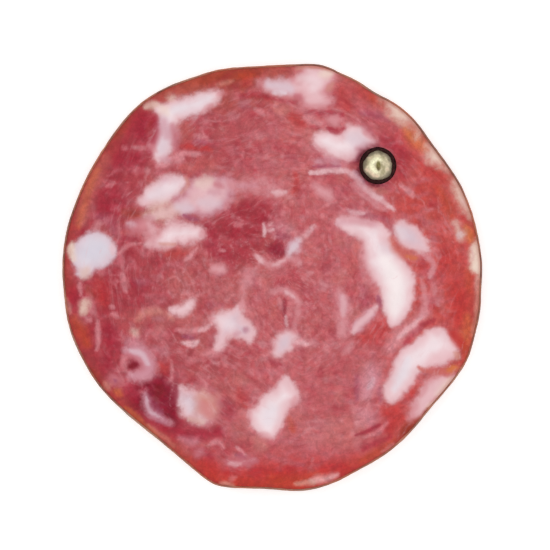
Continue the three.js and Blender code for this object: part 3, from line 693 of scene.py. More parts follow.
    ([(-17.1, -15.8), (-16.9, -17.6), (-15.8, -18.8), (-13.6, -19.9)], 1.1, 0.6, "orchid"),
    ([(-16.9, -16.4), (-16.6, -18), (-15.2, -19)], 0.5, 0.45, "lilac"),
    ([(-7.4, -17), (-7.4, -18.8), (-8.6, -20)], 1.2, 0.5, "rose"),
    ([(-21.3, -14), (-21, -14.3)], 0.5, 0.7, "mauve"), ([(-12, -16.6), (-11.2, -18)], 1.6, 0.35, "ice"),
    ([(-8.2, -15.4), (-7, -17.2)], 1.3, 0.6, "rose"),
    ([(-12.9, -14.9), (-13.1, -17.4)], 0.9, 0.6, "burgundy"),
    ([(-9.2, -16.6), (-8.2, -18)], 3.2, 0.75, "sand"), ([(-9, -17.2), (-8.6, -18.4)], 1.8, 0.5, "salmon"),
    ([(-9.4, -17.2), (-8.4, -18.4)], 1.6, 0.5, "pink"),
    ([(-11, -19.3), (-9.2, -19.6)], 0.9, 0.5, "beige"),
    # bottom
    ([(-0.6, -19.6), (0.2, -18)], 2.2, 0.45, "ice"), ([(1.9, -14.4), (2.6, -15.4)], 1.6, 0.55, "blush"),
    ([(3.2, -16.4), (2.8, -17.4)], 1.0, 0.6, "pink"), ([(-1.6, -21.3), (0, -21.8)], 0.9, 0.5, "pink"),
    ([(-2.8, -18.2), (-3, -19.6)], 0.7, 0.5, "pink"), ([(-5.8, -25.3), (-4.2, -25.4)], 0.7, 0.5, "blush"),
    # lower right
    ([(16.6, -15.2), (17.6, -13), (18.3, -11.2)], 1.4, 0.6, "ice"),
    ([(22, -10.8), (24.2, -10.8)], 1.8, 0.7, "blush"), ([(24.8, -10.4), (25.2, -11)], 0.9, 0.6, "sand"),
    ([(21.8, -7.5), (22.8, -7.5)], 1.0, 0.6, "blush"), ([(22.4, -15.8), (24.2, -14)], 1.6, 0.8, "cream"),
    ([(22.8, -14.1), (21, -16.1), (19.6, -18.4)], 2.0, 0.8, "blush"),
    ([(24.5, -7.8), (26, -9.6)], 1.4, 0.85, "red"), ([(26, -9.4), (26.3, -11)], 0.8, 0.6, "rust"),
    ([(20, -17.4), (21.4, -15)], 1.2, 0.6, "blush"), ([(19.4, -17.6), (18.8, -19.4)], 1.4, 0.6, "pink"),
    ([(20.9, -18.1), (22, -16.9)], 0.8, 0.75, "cream"),
    ([(19.8, -12.3), (21, -12.8), (23.2, -12.7), (25.4, -12.3)], 0.7, 0.8, "salmon"),
    ([(23.9, -12.5), (24.8, -12.4)], 0.8, 0.8, "orange"),
    ([(17.4, -21.6), (18.8, -20.6), (20, -19.4)], 1.2, 0.75, "brown"),
    ([(20.4, -18.7), (21.4, -17.7)], 0.5, 0.7, "brown"), ([(20.9, -14.6), (20.4, -16)], 0.8, 0.5, "pink"),
]


def laidOn(tone, strength, hue):
    return tone + (np.array(hue, float) - tone) * strength[:, None]


def laidOver(layer, strength, hue):
    # the same for a see-through layer, kept as its share and its tone
    share, tone = layer
    whole = share + strength - share * strength
    mixed = tone * (share * (1 - strength))[:, None] + np.array(hue, float) * strength[:, None]
    return whole, np.where(whole[:, None] > 1e-3, mixed / np.maximum(whole, 1e-3)[:, None], tone)


def touched(ground, touches, warpX, warpY, lay):
    # lays soft strokes and patches, each with a wandering edge
    for points, width, strength, hue in touches:
        line = [fromSketch(*p) for p in points]
        line = smoothLine(line) if len(line) > 1 else np.array([line[0], line[0]])
        near = ((plan > line.min(0) - 2 * width - 1) & (plan < line.max(0) + 2 * width + 1)).all(1)
        away, along = lineDistance(px[near] + warpX[near], py[near] + warpY[near], line)
        half = width / 2
        if len(points) > 1:
            half = half * (0.5 + 0.5 * np.sin(math.pi * np.clip(along, 0.04, 0.96)) ** 0.6)
        full, gone = (0.35, 1.75) if width < 1 else (0.0, 2.0)
        amount = np.zeros(len(px))
        amount[near] = strength * (1 - smooth(away / half, full, gone))
        ground = lay(ground, amount, hues[hue])
    return ground


def broadTones(x, y):
    # rosy in the middle, darker to the left, warmer to the right, brown at the top left, red at the bottom
    tone = np.tile(np.array(hues["rosy"], float), (len(x), 1))
    tone = laidOn(tone, smooth(-x, 0, 9), hues["dusty"])
    tone = laidOn(tone, 0.8 * smooth(-x, 13, 22), hues["wine"])
    tone = laidOn(tone, smooth(x, 13, 20), hues["warm"])
    tone = laidOn(tone, smooth(y, 21, 26) * smooth(-x, -6, 2), hues["earth"])
    tone = laidOn(tone, smooth(-y, 22, 27), hues["red"])
    # two patches of purer, darker meat
    tone = laidOn(tone, 0.9 * (1 - smooth(np.hypot(x + 3, y - 6), 3, 7)), hues["wine"])
    return laidOn(tone, 1 - smooth(np.hypot(x + 16, y + 17), 1.5, 5), hues["burgundy"])


def groundTones():
    # the broad tones, then mottling: rosy where fat is smeared, darker where the meat is pure
    warpX = 1.3 * turbulence(px, py, 5, 401, 3)
    warpY = 1.3 * turbulence(px, py, 5, 411, 3)
    tone = broadTones(sx + warpX, sy + warpY)
    u, v = px + 0.8 * warpX, py + 0.8 * warpY
    calm = smooth(rimDepth, 0.5, 4)
    tone = laidOn(tone, 0.26 * smooth(turbulence(u * 1.3, v, 1.9, 431, 3), 0.0, 0.55), hues["crimson"])
    smeared = smooth(turbulence(u, v * 1.5, 1.5, 421, 3), -0.15, 0.5)
    tone = laidOn(tone, (0.1 + 0.36 * calm) * smeared, hues["rose"])
    tone = laidOn(tone, calm * 0.24 * smooth(turbulence(u, v, 3.2, 441, 2), 0.0, 0.6), hues["sand"])
    fleck = smooth(turbulence(u, v, 0.9, 451, 2), 0.36, 0.7)
    tone = laidOn(tone, calm * 0.4 * fleck, hues["pink"])
    # filaments of fat drawn through the meat
    strand = 1 - smooth(np.abs(turbulence(u, v, 3.4, 481, 3)), 0.0, 0.07)
    return laidOn(tone, calm * 0.42 * strand * smooth(turbulence(px, py, 3, 491, 2), -0.2, 0.5), hues["pink"])


def meatTones():
    fineX = 0.22 * turbulence(px, py, 1.6, 311, 3)
    fineY = 0.22 * turbulence(px, py, 1.6, 321, 3)
    lean = touched(groundTones(), leanTouches, 1.6 * fineX, 1.6 * fineY, laidOn)
    # dried and more orange just inside the casing, in patches
    patchy = 0.5 + 0.5 * turbulence(px, py, 5, 461, 2)
    lean = laidOn(lean, 0.4 * patchy * (1 - smooth(rimDepth, 0.3, 2.4)), hues["rust"])
    fat = np.zeros(len(px)), np.tile(np.array(hues["blush"], float), (len(px), 1))
    wander = 0.24 * turbulence(px, py, 2.6, 301, 2) + 0.2 * turbulence(px, py, 0.9, 331, 2)
    for name in fatNodes:
        core, edge, soft, full = fatLooks[name]
        loop = fatEdges[name]
        near = ((plan > loop.min(0) - 3) & (plan < loop.max(0) + 3)).all(1)
        depth = np.full(len(px), -9.0)
        depth[near] = -loopDistance(px[near], py[near], loop)
        # fat smeared into the meat round the piece
        smear = smooth(depth + 3 * wander, -1.8, 0.2) * smooth(turbulence(px, py, 1.6, 471, 3), -0.5, 0.6)
        lean = laidOn(lean, 0.3 * full * smear, hues["pink"])
        inward = smooth(depth + 1.5 * wander, 0.1, 2.0)[:, None]
        hue = np.array(hues[edge], float) * (1 - inward) + np.array(hues[core], float) * inward
        fat = laidOver(fat, full * smooth(depth + wander, -soft * 0.85, soft * 1.35), hue)
    fat = touched(fat, fatTouches, fineX, fineY, laidOver)
    # the outermost sliver is brown; round the corn, shade is painted on the meat: a darker halo, mostly on
    # its left, and a dark crack at its edge
    share, tone = fat
    # painted shade round the corn: distance from it, stretched on its right so that the shade lies mostly on
    # its left
    cornShadeReach = np.clip(cornDistance - 0.1 + 0.6 * turbulence(px, py, 1.0, 501, 3), 0, None)
    cornShadeReach = cornShadeReach + 0.5 * smooth(px - cornMiddle[0], -0.5, 1.5)
    edges = ((0.32 * (1 - smooth(rimDepth, 0.0, 0.5)), hues["brown"]),
             # painted shade: the broad halo round the corn, then the dark crack at its edge
             (0.45 * np.exp(-cornShadeReach / 0.7), hues["burgundy"]),
             (0.55 * np.exp(-cornShadeReach / 0.2), (70, 30, 34)))
    for amount, hue in edges:
        lean = laidOn(lean, amount, hue)
        tone = laidOn(tone, amount, hue)
    return lean, tone, share


# coordinates that run round the slice, wandering, for streaks in the material
flowSet = {"middle": (2, 1), "round": 9.0, "across": 1.5, "wander": 2.6}
flowX = px - flowSet["middle"][0] + flowSet["wander"] * turbulence(px, py, 9, 601, 3)
flowY = py - flowSet["middle"][1] + flowSet["wander"] * turbulence(px, py, 9, 611, 3)
flowOut = np.hypot(flowX, flowY) + 1e-6
flow = np.column_stack([flowX / flowOut * flowSet["round"], flowY / flowOut * flowSet["round"],
                        flowOut * flowSet["across"]])

leanTone, fatTone, share = meatTones()
marbling = smooth(rimDepth, 0.5, 4) * (0.25 + 0.75 * smooth(leanTone[:, 1], 48, 82))
marbling *= 1 - 0.7 * smooth(0.5 * sx - sy, 14, 20)
leanTone, fatTone = paint(leanTone), paint(fatTone)
print("tones laid out")

# relief of the two faces

reliefSet = {
    "warp": 0.10,      # slow waves over the slice
    "grain": 0.055,    # soft lumps of ground meat
    "fine": 0.02,      # fibres and knife marks
    "fatDome": 0.07,   # fat stands a little proud
    "crease": 0.025,   # along the edge between fat and lean
    "rimDip": 0.10,    # the meat sinks beside the casing
    "cornRise": 0.08,  # and rises beside the corn
    "wander": 0.6,     # how far an outline shifts on the underside
}


def edgeDepths():
    deepest = np.full(len(px), -9.0)
    nearest = np.full(len(px), 9.0)
    for nodeName in fatNodes:
        loop = fatEdges[nodeName]
        near = ((plan > loop.min(0) - 1.5) & (plan < loop.max(0) + 1.5)).all(1)
        depth = -loopDistance(px[near], py[near], loop)
        deepest[near] = np.maximum(deepest[near], depth)
        nearest[near] = np.minimum(nearest[near], np.abs(depth))
    return deepest, nearest


fatDepth, edgeAway = edgeDepths()
relief = (reliefSet["warp"] * ripple(px, py, 13, 501)
          + reliefSet["grain"] * turbulence(px, py, 2.6, 511, 3)
          + reliefSet["fine"] * turbulence(px, py, 0.7, 521, 2)
          + reliefSet["fatDome"] * smooth(fatDepth, 0.0, 1.4)
          - reliefSet["crease"] * np.exp(-(edgeAway / 0.22) ** 2)
          - reliefSet["rimDip"] * np.exp(-rimDepth / 0.6)
          + reliefSet["cornRise"] * np.exp(-np.clip(cornDistance, 0, None) / 0.5))
topHeight = sliceTop + relief

reach = np.hypot(px / halfWidth, py / halfLength)
wanderAmount = reliefSet["wander"] * np.clip(1 - reach ** 4, 0, None)
nearCorn = 1 - smooth(cornDistance, 0.1, 2.2)
seatShift = (cornRadiusAt(0) - cornRadiusAt(sliceTop)) * nearCorn
fromCorn = (plan - cornMiddle) / np.maximum(np.hypot(*(plan - cornMiddle).T), 1e-6)[:, None]
under = plan.copy()
under[:, 0] += wanderAmount * (1 - nearCorn) * np.sin(0.3 * py + 0.11 * px + 0.7)
under[:, 1] += wanderAmount * (1 - nearCorn) * np.cos(0.27 * px - 0.12 * py)
under += fromCorn * seatShift[:, None]
underHeight = 0.03 + 0.02 * turbulence(px, py, 1.5, 531, 3) + 0.02 * np.exp(-(edgeAway / 0.3) ** 2)


def wallRing(index, height):
    # points of a piece's wall between the two faces; round the corn they follow its belly
    t = height / sliceTop
    ring = under[index] * (1 - t) + plan[index] * t
    onSeat = cornDistance[index] < 0.05
    ring[onSeat] = cornMiddle + fromCorn[index][onSeat] * (cornRadiusAt(height) + cornSet["ease"])
    return np.column_stack([ring, np.full(len(index), height)])


def solidPiece(name, chosen):
    # both faces and the walls of one piece, sharing its edge exactly with its neighbours
    faces = triangles[chosen]
    used, compact = np.unique(faces, return_inverse=True)
    faces = compact.reshape(-1, 3)
    count = len(used)
    directed = {(a, b) for f in faces.tolist() for a, b in ((f[0], f[1]), (f[1], f[2]), (f[2], f[0]))}
    border = sorted((a, b) for a, b in directed if (b, a) not in directed)
    edgeIndex = sorted({a for a, _ in border})
    onEdge = {a: k for k, a in enumerate(edgeIndex)}
    heights = [sliceTop * 0.7, sliceTop * 0.35]
    rings = [wallRing(used[edgeIndex], h) for h in heights]
    points = np.concatenate([
        np.column_stack([plan[used], topHeight[used]]),
        np.column_stack([under[used], underHeight[used]]), *rings])
    skin = faces.tolist() + (faces[:, ::-1] + count).tolist()
    for a, b in border:
        down = [(a, b)] + [(2 * count + k * len(edgeIndex) + onEdge[a],
                            2 * count + k * len(edgeIndex) + onEdge[b]) for k in range(len(rings))]
        down.append((a + count, b + count))
        for (ua, ub), (la, lb) in zip(down, down[1:]):
            skin.append((ua, la, lb, ub))
    piece = makeMesh(name, points, skin)
    piece.data.set_sharp_from_angle(angle=math.radians(50))
    source = np.concatenate([used, used] + [used[edgeIndex]] * len(rings))
    addColour(piece, "leanTone", leanTone[source])
    addColour(piece, "fatTone", fatTone[source])
    addVector(piece, "flow", flow[source])
    addAmount(piece, "fatShare", share[source])
    addAmount(piece, "marbling", marbling[source])
    return piece


# materials

def newMaterial(name):
    material = bpy.data.materials.new(name)
    material.use_nodes = True
    tree = material.node_tree
    shader = tree.nodes["Principled BSDF"]
    return material, tree, shader


def node(tree, kind, **settings):
    made = tree.nodes.new(kind)
    for key, value in settings.items():
        setattr(made, key, value)
    return made


def noiseNode(tree, place, scale, detail=3.0, roughness=0.5, distortion=0.0):
    made = node(tree, "ShaderNodeTexNoise")
    made.inputs["Scale"].default_value = scale
    made.inputs["Detail"].default_value = detail
    made.inputs["Roughness"].default_value = roughness
    made.inputs["Distortion"].default_value = distortion
    tree.links.new(place, made.inputs["Vector"])
    return made.outputs["Fac"]


def rangeNode(tree, value, low, high, toLow, toHigh):
    made = node(tree, "ShaderNodeMapRange", interpolation_type="SMOOTHSTEP")
    for key, number in (("From Min", low), ("From Max", high), ("To Min", toLow), ("To Max", toHigh)):
        made.inputs[key].default_value = number
    tree.links.new(value, made.inputs["Value"])
    return made.outputs["Result"]


def unevenNode(tree, noise, low, high):
    # turns the middle of a noise into the range from low to high
    return rangeNode(tree, noise, 0.3, 0.7, low, high)


def mathNode(tree, operation, a, b):
    made = node(tree, "ShaderNodeMath", operation=operation)
    for socket, value in zip(made.inputs, (a, b)):
        if isinstance(value, (int, float)):
            socket.default_value = value
        else:
            tree.links.new(value, socket)
    return made.outputs[0]


def mixNode(tree, factor, a, b, blend="MIX"):
    made = node(tree, "ShaderNodeMix", data_type="RGBA", blend_type=blend)
    colourSockets = [made.inputs[6], made.inputs[7]]
    for socket, value in zip([made.inputs[0]] + colourSockets, (factor, a, b)):
        if isinstance(value, (int, float)):
            socket.default_value = value
        elif isinstance(value, (tuple, list, np.ndarray)):
            socket.default_value = (*value, 1)
        else:
            tree.links.new(value, socket)
    return made.outputs[2]


def placeInMillimetres(tree):
    coordinates = node(tree, "ShaderNodeTexCoord")
    mapping = node(tree, "ShaderNodeMapping")
    mapping.inputs["Scale"].default_value = (1000, 1000, 1000)
    tree.links.new(coordinates.outputs["Object"], mapping.inputs["Vector"])
    return mapping.outputs["Vector"]


def attributeNode(tree, name, output="Color"):
    return node(tree, "ShaderNodeAttribute", attribute_name=name).outputs[output]


def addBump(tree, shader, height, strength, distance):
    # distance is in millimetres
    bump = node(tree, "ShaderNodeBump")
    bump.inputs["Strength"].default_value = strength
    bump.inputs["Distance"].default_value = distance * mm
    tree.links.new(height, bump.inputs["Height"])
    tree.links.new(bump.outputs["Normal"], shader.inputs["Normal"])


def meatMaterial(name, look):
    material, tree, shader = newMaterial(name)
    place = placeInMillimetres(tree)
    lean = attributeNode(tree, "leanTone")
    fat = attributeNode(tree, "fatTone")
    share = attributeNode(tree, "fatShare", "Fac")
    # the edge of the fat is ragged
    edgeNoise = noiseNode(tree, place, 0.9, 4, 0.65, 0.3)
    rag = rangeNode(tree, edgeNoise, 0.32, 0.68, -look["ragged"], look["ragged"])
    lacking = mathNode(tree, "SUBTRACT", 1.0, share)
    edge = mathNode(tree, "MULTIPLY", mathNode(tree, "MULTIPLY", share, 4.0), lacking)
    share = mathNode(tree, "ADD", share, mathNode(tree, "MULTIPLY", edge, rag))
    # grain and fibres of the lean; fat is only a little cloudy
    grain = unevenNode(tree, noiseNode(tree, place, 1.1, 3, 0.55, 0.5), 1 - look["grain"], 1 + look["grain"])
    fibre = unevenNode(tree, noiseNode(tree, place, 3.0, 3, 0.6, 0.8), 1 - look["fibre"], 1 + look["fibre"])
    lean = mixNode(tree, 1.0, lean, mathNode(tree, "MULTIPLY", grain, fibre), "MULTIPLY")
    cloud = unevenNode(tree, noiseNode(tree, place, 0.5, 2, 0.5), 1 - look["cloud"], 1 + look["cloud"])
    fat = mixNode(tree, 1.0, fat, cloud, "MULTIPLY")
    # streaks of smeared fat and of pure red meat follow the way the sausage was filled
    flow = attributeNode(tree, "flow", "Vector")
    streak = noiseNode(tree, flow, 1.0, 4, 0.6, 0.3)
    pale = rangeNode(tree, streak, 0.5, 0.72, 0.0, look["streaks"])
    pale = mathNode(tree, "MULTIPLY", pale, attributeNode(tree, "marbling", "Fac"))
    dark = rangeNode(tree, streak, 0.5, 0.3, 0.0, look["streaks"] * 0.8)
    lean = mixNode(tree, pale, lean, paint(hues["pink"]))
    lean = mixNode(tree, dark, lean, paint(hues["crimson"]))
    fat = mixNode(tree, rangeNode(tree, streak, 0.45, 0.28, 0.0, 0.3), fat, paint(hues["blush"]))
    tree.links.new(mixNode(tree, share, lean, fat), shader.inputs["Base Color"])
    gloss = unevenNode(tree, noiseNode(tree, place, 0.8, 3, 0.6), look["roughLow"], look["roughHigh"])
    tree.links.new(gloss, shader.inputs["Roughness"])
    shader.inputs["Specular IOR Level"].default_value = look["specular"]
    coarsePores = noiseNode(tree, place, 2.4, 4, 0.6, 0.4)
    finePores = noiseNode(tree, place, 6.0, 2, 0.5)
    addBump(tree, shader, mathNode(tree, "ADD", coarsePores, finePores), look["bump"], 0.12)
    return material


leanLook = {
    "ragged": 0.24, "grain": 0.13, "fibre": 0.08, "cloud": 0.02, "streaks": 0.36,
    "roughLow": 0.36, "roughHigh": 0.52, "specular": 0.3, "bump": 0.3,
}
fatLook = {
    "ragged": 0.24, "grain": 0.08, "fibre": 0.05, "cloud": 0.02, "streaks": 0.36,
    "roughLow": 0.36, "roughHigh": 0.5, "specular": 0.3, "bump": 0.08,
}
leanMaterial = meatMaterial("cured_lean", leanLook)
fatMaterial = meatMaterial("cured_back_fat", fatLook)

lean = solidPiece("lean_meat_cut", label == 0)
lean.data.materials.append(leanMaterial)
finishPiece(lean, "lean", "lean_meat")
for number, nodeName in enumerate(fatNodes, 2):
    piece = solidPiece(nodeName + "_cut", label == number)
    piece.data.materials.append(fatMaterial)
    finishPiece(piece, "fat", nodeName)
print("lean and fat made")

# casing

casingSet = {
    "stations": 620,        # steps round the rim
    "wall": 0.26,
    "wrinkleDepth": 0.15,
    "wrinkleLength": 1.3,
    "raggedEdge": 0.12,
    "seed": 5,
}


def casingMaterial():
    material, tree, shader = newMaterial("gut_casing")
    place = placeInMillimetres(tree)
    broad = noiseNode(tree, place, 0.22, 3, 0.6)
    fine = noiseNode(tree, place, 1.6, 4, 0.6, 0.5)
    bloom = noiseNode(tree, place, 0.14, 3, 0.55)
    brown = rangeNode(tree, broad, 0.35, 0.65, 0, 1)
    base = mixNode(tree, brown, linear((122, 68, 54)), linear((168, 92, 66)))
    base = mixNode(tree, rangeNode(tree, bloom, 0.46, 0.7, 0, 0.55), base, linear((168, 136, 116)))
    base = mixNode(tree, rangeNode(tree, fine, 0.42, 0.72, 0, 0.3), base, linear((192, 140, 112)))
    tree.links.new(base, shader.inputs["Base Color"])
    shader.inputs["Roughness"].default_value = 0.5
    addBump(tree, shader, noiseNode(tree, place, 3.5, 4, 0.6, 0.5), 0.5, 0.1)
    return material


def casingTree(material):
    # sweeps the skin's section round the rim, then wrinkles it
    tree = bpy.data.node_groups.new("rim_skin", "GeometryNodeTree")
    tree.interface.new_socket("Geometry", in_out="INPUT", socket_type="NodeSocketGeometry")
    for caption in ("Wall", "Height", "Wrinkle depth", "Wrinkle length", "Ragged edge"):
        tree.interface.new_socket(caption, in_out="INPUT", socket_type="NodeSocketFloat")
    for caption in ("Stations", "Seed"):
        tree.interface.new_socket(caption, in_out="INPUT", socket_type="NodeSocketInt")
    tree.interface.new_socket("Geometry", in_out="OUTPUT", socket_type="NodeSocketGeometry")
    link = tree.links.new
    given = node(tree, "NodeGroupInput").outputs
    toCurve = node(tree, "GeometryNodeMeshToCurve")
    link(given["Geometry"], toCurve.inputs["Mesh"])
    resample = node(tree, "GeometryNodeResampleCurve")
    link(toCurve.outputs["Curve"], resample.inputs["Curve"])
    link(given["Stations"], resample.inputs["Count"])
    upright = node(tree, "GeometryNodeSetCurveNormal", mode="Z_UP")
    link(resample.outputs["Curve"], upright.inputs["Curve"])
    section = node(tree, "GeometryNodeCurvePrimitiveQuadrilateral")
    link(given["Wall"], section.inputs["Width"])
    link(given["Height"], section.inputs["Height"])
    rounded = node(tree, "GeometryNodeFilletCurve", mode="POLY")
    rounded.inputs["Count"].default_value = 2
    link(section.outputs["Curve"], rounded.inputs["Curve"])
    link(mathNode(tree, "MULTIPLY", given["Wall"], 0.35), rounded.inputs["Radius"])
    stepped = node(tree, "GeometryNodeResampleCurve")
    stepped.inputs["Count"].default_value = 26
    link(rounded.outputs["Curve"], stepped.inputs["Curve"])
    sweep = node(tree, "GeometryNodeCurveToMesh")
    link(upright.outputs["Curve"], sweep.inputs["Curve"])
    link(stepped.outputs["Curve"], sweep.inputs["Profile Curve"])
    # wrinkles push along the surface's normal, and the cut edge wanders up and down
    where = node(tree, "GeometryNodeInputPosition").outputs["Position"]
    folded = node(tree, "ShaderNodeVectorMath", operation="MULTIPLY")
    folded.inputs[1].default_value = (1, 1, 0.45)
    link(where, folded.inputs[0])
    folds = node(tree, "ShaderNodeTexNoise", noise_dimensions="4D")
    link(folded.outputs["Vector"], folds.inputs["Vector"])
    link(given["Seed"], folds.inputs["W"])
    frequency = mathNode(tree, "DIVIDE", 1.0, given["Wrinkle length"])
    link(frequency, folds.inputs["Scale"])
    folds.inputs["Detail"].default_value = 3
    centred = mathNode(tree, "SUBTRACT", folds.outputs["Fac"], 0.5)
    depth = mathNode(tree, "MULTIPLY", centred, given["Wrinkle depth"])
    normal = node(tree, "GeometryNodeInputNormal").outputs["Normal"]
    push = node(tree, "ShaderNodeVectorMath", operation="SCALE")
    link(normal, push.inputs[0])
    link(depth, push.inputs["Scale"])
    wrinkled = node(tree, "GeometryNodeSetPosition")
    link(sweep.outputs["Mesh"], wrinkled.inputs["Geometry"])
    link(push.outputs["Vector"], wrinkled.inputs["Offset"])
    ragged = node(tree, "ShaderNodeTexNoise", noise_dimensions="4D")
    ragged.inputs["Detail"].default_value = 2
    link(where, ragged.inputs["Vector"])
    link(given["Seed"], ragged.inputs["W"])
    link(mathNode(tree, "MULTIPLY", frequency, 0.6), ragged.inputs["Scale"])
    lift = mathNode(tree, "SUBTRACT", ragged.outputs["Fac"], 0.5)
    lifted = mathNode(tree, "MULTIPLY", lift, given["Ragged edge"])
    apart = node(tree, "ShaderNodeSeparateXYZ")
    link(where, apart.inputs[0])
    upper = node(tree, "ShaderNodeMapRange")
    upper.inputs["From Min"].default_value = -0.0002
    upper.inputs["From Max"].default_value = 0.0012
    link(apart.outputs["Z"], upper.inputs["Value"])
    onlyUpper = mathNode(tree, "MULTIPLY", lifted, upper.outputs["Result"])
    upwards = node(tree, "ShaderNodeCombineXYZ")
    link(onlyUpper, upwards.inputs["Z"])
    raggedEdge = node(tree, "GeometryNodeSetPosition")
    link(wrinkled.outputs["Geometry"], raggedEdge.inputs["Geometry"])
    link(upwards.outputs["Vector"], raggedEdge.inputs["Offset"])
    realised = node(tree, "GeometryNodeRealizeInstances")
    link(raggedEdge.outputs["Geometry"], realised.inputs["Geometry"])
    finish = node(tree, "GeometryNodeSetMaterial")
    finish.inputs["Material"].default_value = material
    link(realised.outputs["Geometry"], finish.inputs["Geometry"])
    link(finish.outputs["Geometry"], node(tree, "NodeGroupOutput").inputs["Geometry"])
    return tree


def grown(name, points, links, tree, values):
    # runs a node tree on a guide and keeps its result as a plain mesh
    guideMesh = bpy.data.meshes.new(name + "_guide")
    guideMesh.from_pydata((np.asarray(points) * mm).tolist(), links, [])
    guide = bpy.data.objects.new(name + "_guide", guideMesh)
    scene.collection.objects.link(guide)
    modifier = guide.modifiers.new("grow", "NODES")
    modifier.node_group = tree
    for item in tree.interface.items_tree:
        if item.in_out == "INPUT" and item.name in values:
            modifier[item.identifier] = values[item.name]
    evaluated = guide.evaluated_get(bpy.context.evaluated_depsgraph_get())
    mesh = bpy.data.meshes.new_from_object(evaluated)
    mesh.name = name
    piece = bpy.data.objects.new(name, mesh)
    scene.collection.objects.link(piece)
    guide.modifiers.clear()
    bpy.data.objects.remove(guide)
    return piece


def makeCasing():
    middle = casingOutside
    area = np.sum(middle[:, 0] * np.roll(middle[:, 1], -1) - np.roll(middle[:, 0], -1) * middle[:, 1])
    if area < 0:
        middle = middle[::-1]
    middle = pushedOut(middle, -casingSet["wall"] / 2)
    # the section hangs round its middle height, so the guide lies there
    rim = np.column_stack([middle, np.zeros(len(middle))])
    n = len(rim)
    values = {"Wall": casingSet["wall"] * mm, "Height": sliceTop * mm,
              "Wrinkle depth": casingSet["wrinkleDepth"] * mm,
              "Wrinkle length": casingSet["wrinkleLength"] * mm,
              "Ragged edge": casingSet["raggedEdge"] * mm, "Stations": casingSet["stations"],
              "Seed": casingSet["seed"]}
    links = [(k, (k + 1) % n) for k in range(n)]
    casing = grown("casing_skin", rim, links, casingTree(casingMaterial()), values)
    casing.data.transform(Matrix.Translation((0, 0, sliceTop / 2 * mm)))
    for point in casing.data.vertices:
        point.co.z = max(point.co.z, 0)
    return casing


casing = makeCasing()
finishPiece(casing, "casing", "casing")
print("casing made:", len(casing.data.polygons), "faces")

# peppercorn

cornLook = {
    "skin": 0.38,        # thickness of the dark skin at the cut
    "crack": 0.03,       # between skin and kernel
    "lobes": 15,         # wrinkles round the skin
    "wrinkle": 0.13,
    "slotLong": 0.75,    # half the slot's length
    "slotWide": 0.32,
    "slotDeep": 0.30,
    "uneven": 0.17,      # how far the kernel's outline strays
}


def cornSkinMaterial():
    material, tree, shader = newMaterial("pepper_skin")
    place = placeInMillimetres(tree)
    fine = noiseNode(tree, place, 2.6, 4, 0.65, 0.5)
    lighter = rangeNode(tree, fine, 0.46, 0.74, 0, 1)
    colour = mixNode(tree, lighter, linear((38, 12, 12)), linear((66, 34, 30)))
    tree.links.new(colour, shader.inputs["Base Color"])
    shader.inputs["Roughness"].default_value = 0.8
    shader.inputs["Specular IOR Level"].default_value = 0.12
    addBump(tree, shader, fine, 0.8, 0.15)
    return material


def kernelMaterial():
    material, tree, shader = newMaterial("pepper_kernel")
    place = placeInMillimetres(tree)
    grain = noiseNode(tree, place, 3.5, 4, 0.6, 0.3)
    tone = rangeNode(tree, grain, 0.3, 0.7, 0.82, 1.12)
    colour = mixNode(tree, 1.0, attributeNode(tree, "kernelTone"), tone, "MULTIPLY")
    tree.links.new(colour, shader.inputs["Base Color"])
    shader.inputs["Roughness"].default_value = 0.55
    addBump(tree, shader, grain, 0.6, 0.1)
    return material


def gridOfTurns(rings, around):
    # faces between rings of points, each ring with the same number of turns
    faces = []
    for r in range(rings - 1):
        for k in range(around):
            n = (k + 1) % around
            faces.append((r * around + k, r * around + n, (r + 1) * around + n, (r + 1) * around + k))
    return faces


def makeCornSkin():
    around = 160
    angle = np.linspace(0, 2 * math.pi, around, endpoint=False)
    edge = sliceTop + 0.10
    inner = cornRadiusAt(sliceTop) - cornLook["skin"]
    innerUnder = cornRadiusAt(0) - cornLook["skin"]
    # section from the inside bottom, up, over the cut edge and down the outside
    section = []
    for t in np.linspace(0, 1, 7):
        section.append((innerUnder + (inner - innerUnder) * t, 0.02 + (edge - 0.08) * t, 0.3))
    for t in np.linspace(0.12, 0.88, 5):
        section.append((inner + cornLook["skin"] * t, edge + 0.03 * math.sin(math.pi * t), 0.6))
    for height in np.linspace(sliceTop, 0.03, 12):
        section.append((float(cornRadiusAt(height)), float(height), 1.0))
    for t in (0.75, 0.5, 0.25):
        section.append((innerUnder + cornLook["skin"] * t, 0.01, 0.5))
    points = []
    for radius, height, wild in section:
        fold = (np.sin(cornLook["lobes"] * angle + 1.3 * np.sin(2 * angle + height))
                + 0.6 * np.sin((cornLook["lobes"] * 2 - 7) * angle + 2 * height))
        fold = fold * (0.7 + 0.3 * np.sin(3 * angle + 1))
        r = radius + cornLook["wrinkle"] * wild * (fold * 0.5 - 0.5)
        r = r - kernelEdge(angle) * smooth(1 - wild, 0.3, 0.65)
        z = height + (0.05 * wild * np.sin(9 * angle + 2) if height > sliceTop else 0 * angle)
        x, y = cornMiddle[0] + r * np.cos(angle), cornMiddle[1] + r * np.sin(angle)
        points.append(np.column_stack([x, y, z]))
    rings = len(points)
    points = np.concatenate(points)
    faces = gridOfTurns(rings, around)
    last = (rings - 1) * around
    faces += [(last + k, last + (k + 1) % around, (k + 1) % around, k) for k in range(around)]
    # the section starts on the inside, so the faces are turned to look outwards
    return makeMesh("peppercorn_skin", points, [face[::-1] for face in faces])


def kernelEdge(angle):
    # how far the kernel's edge lies inside a true circle, by direction
    return cornLook["uneven"] * (0.5 + 0.28 * np.sin(3 * angle + 0.6) + 0.22 * np.sin(5 * angle + 2)
                                 + 0.16 * np.sin(9 * angle + 4))


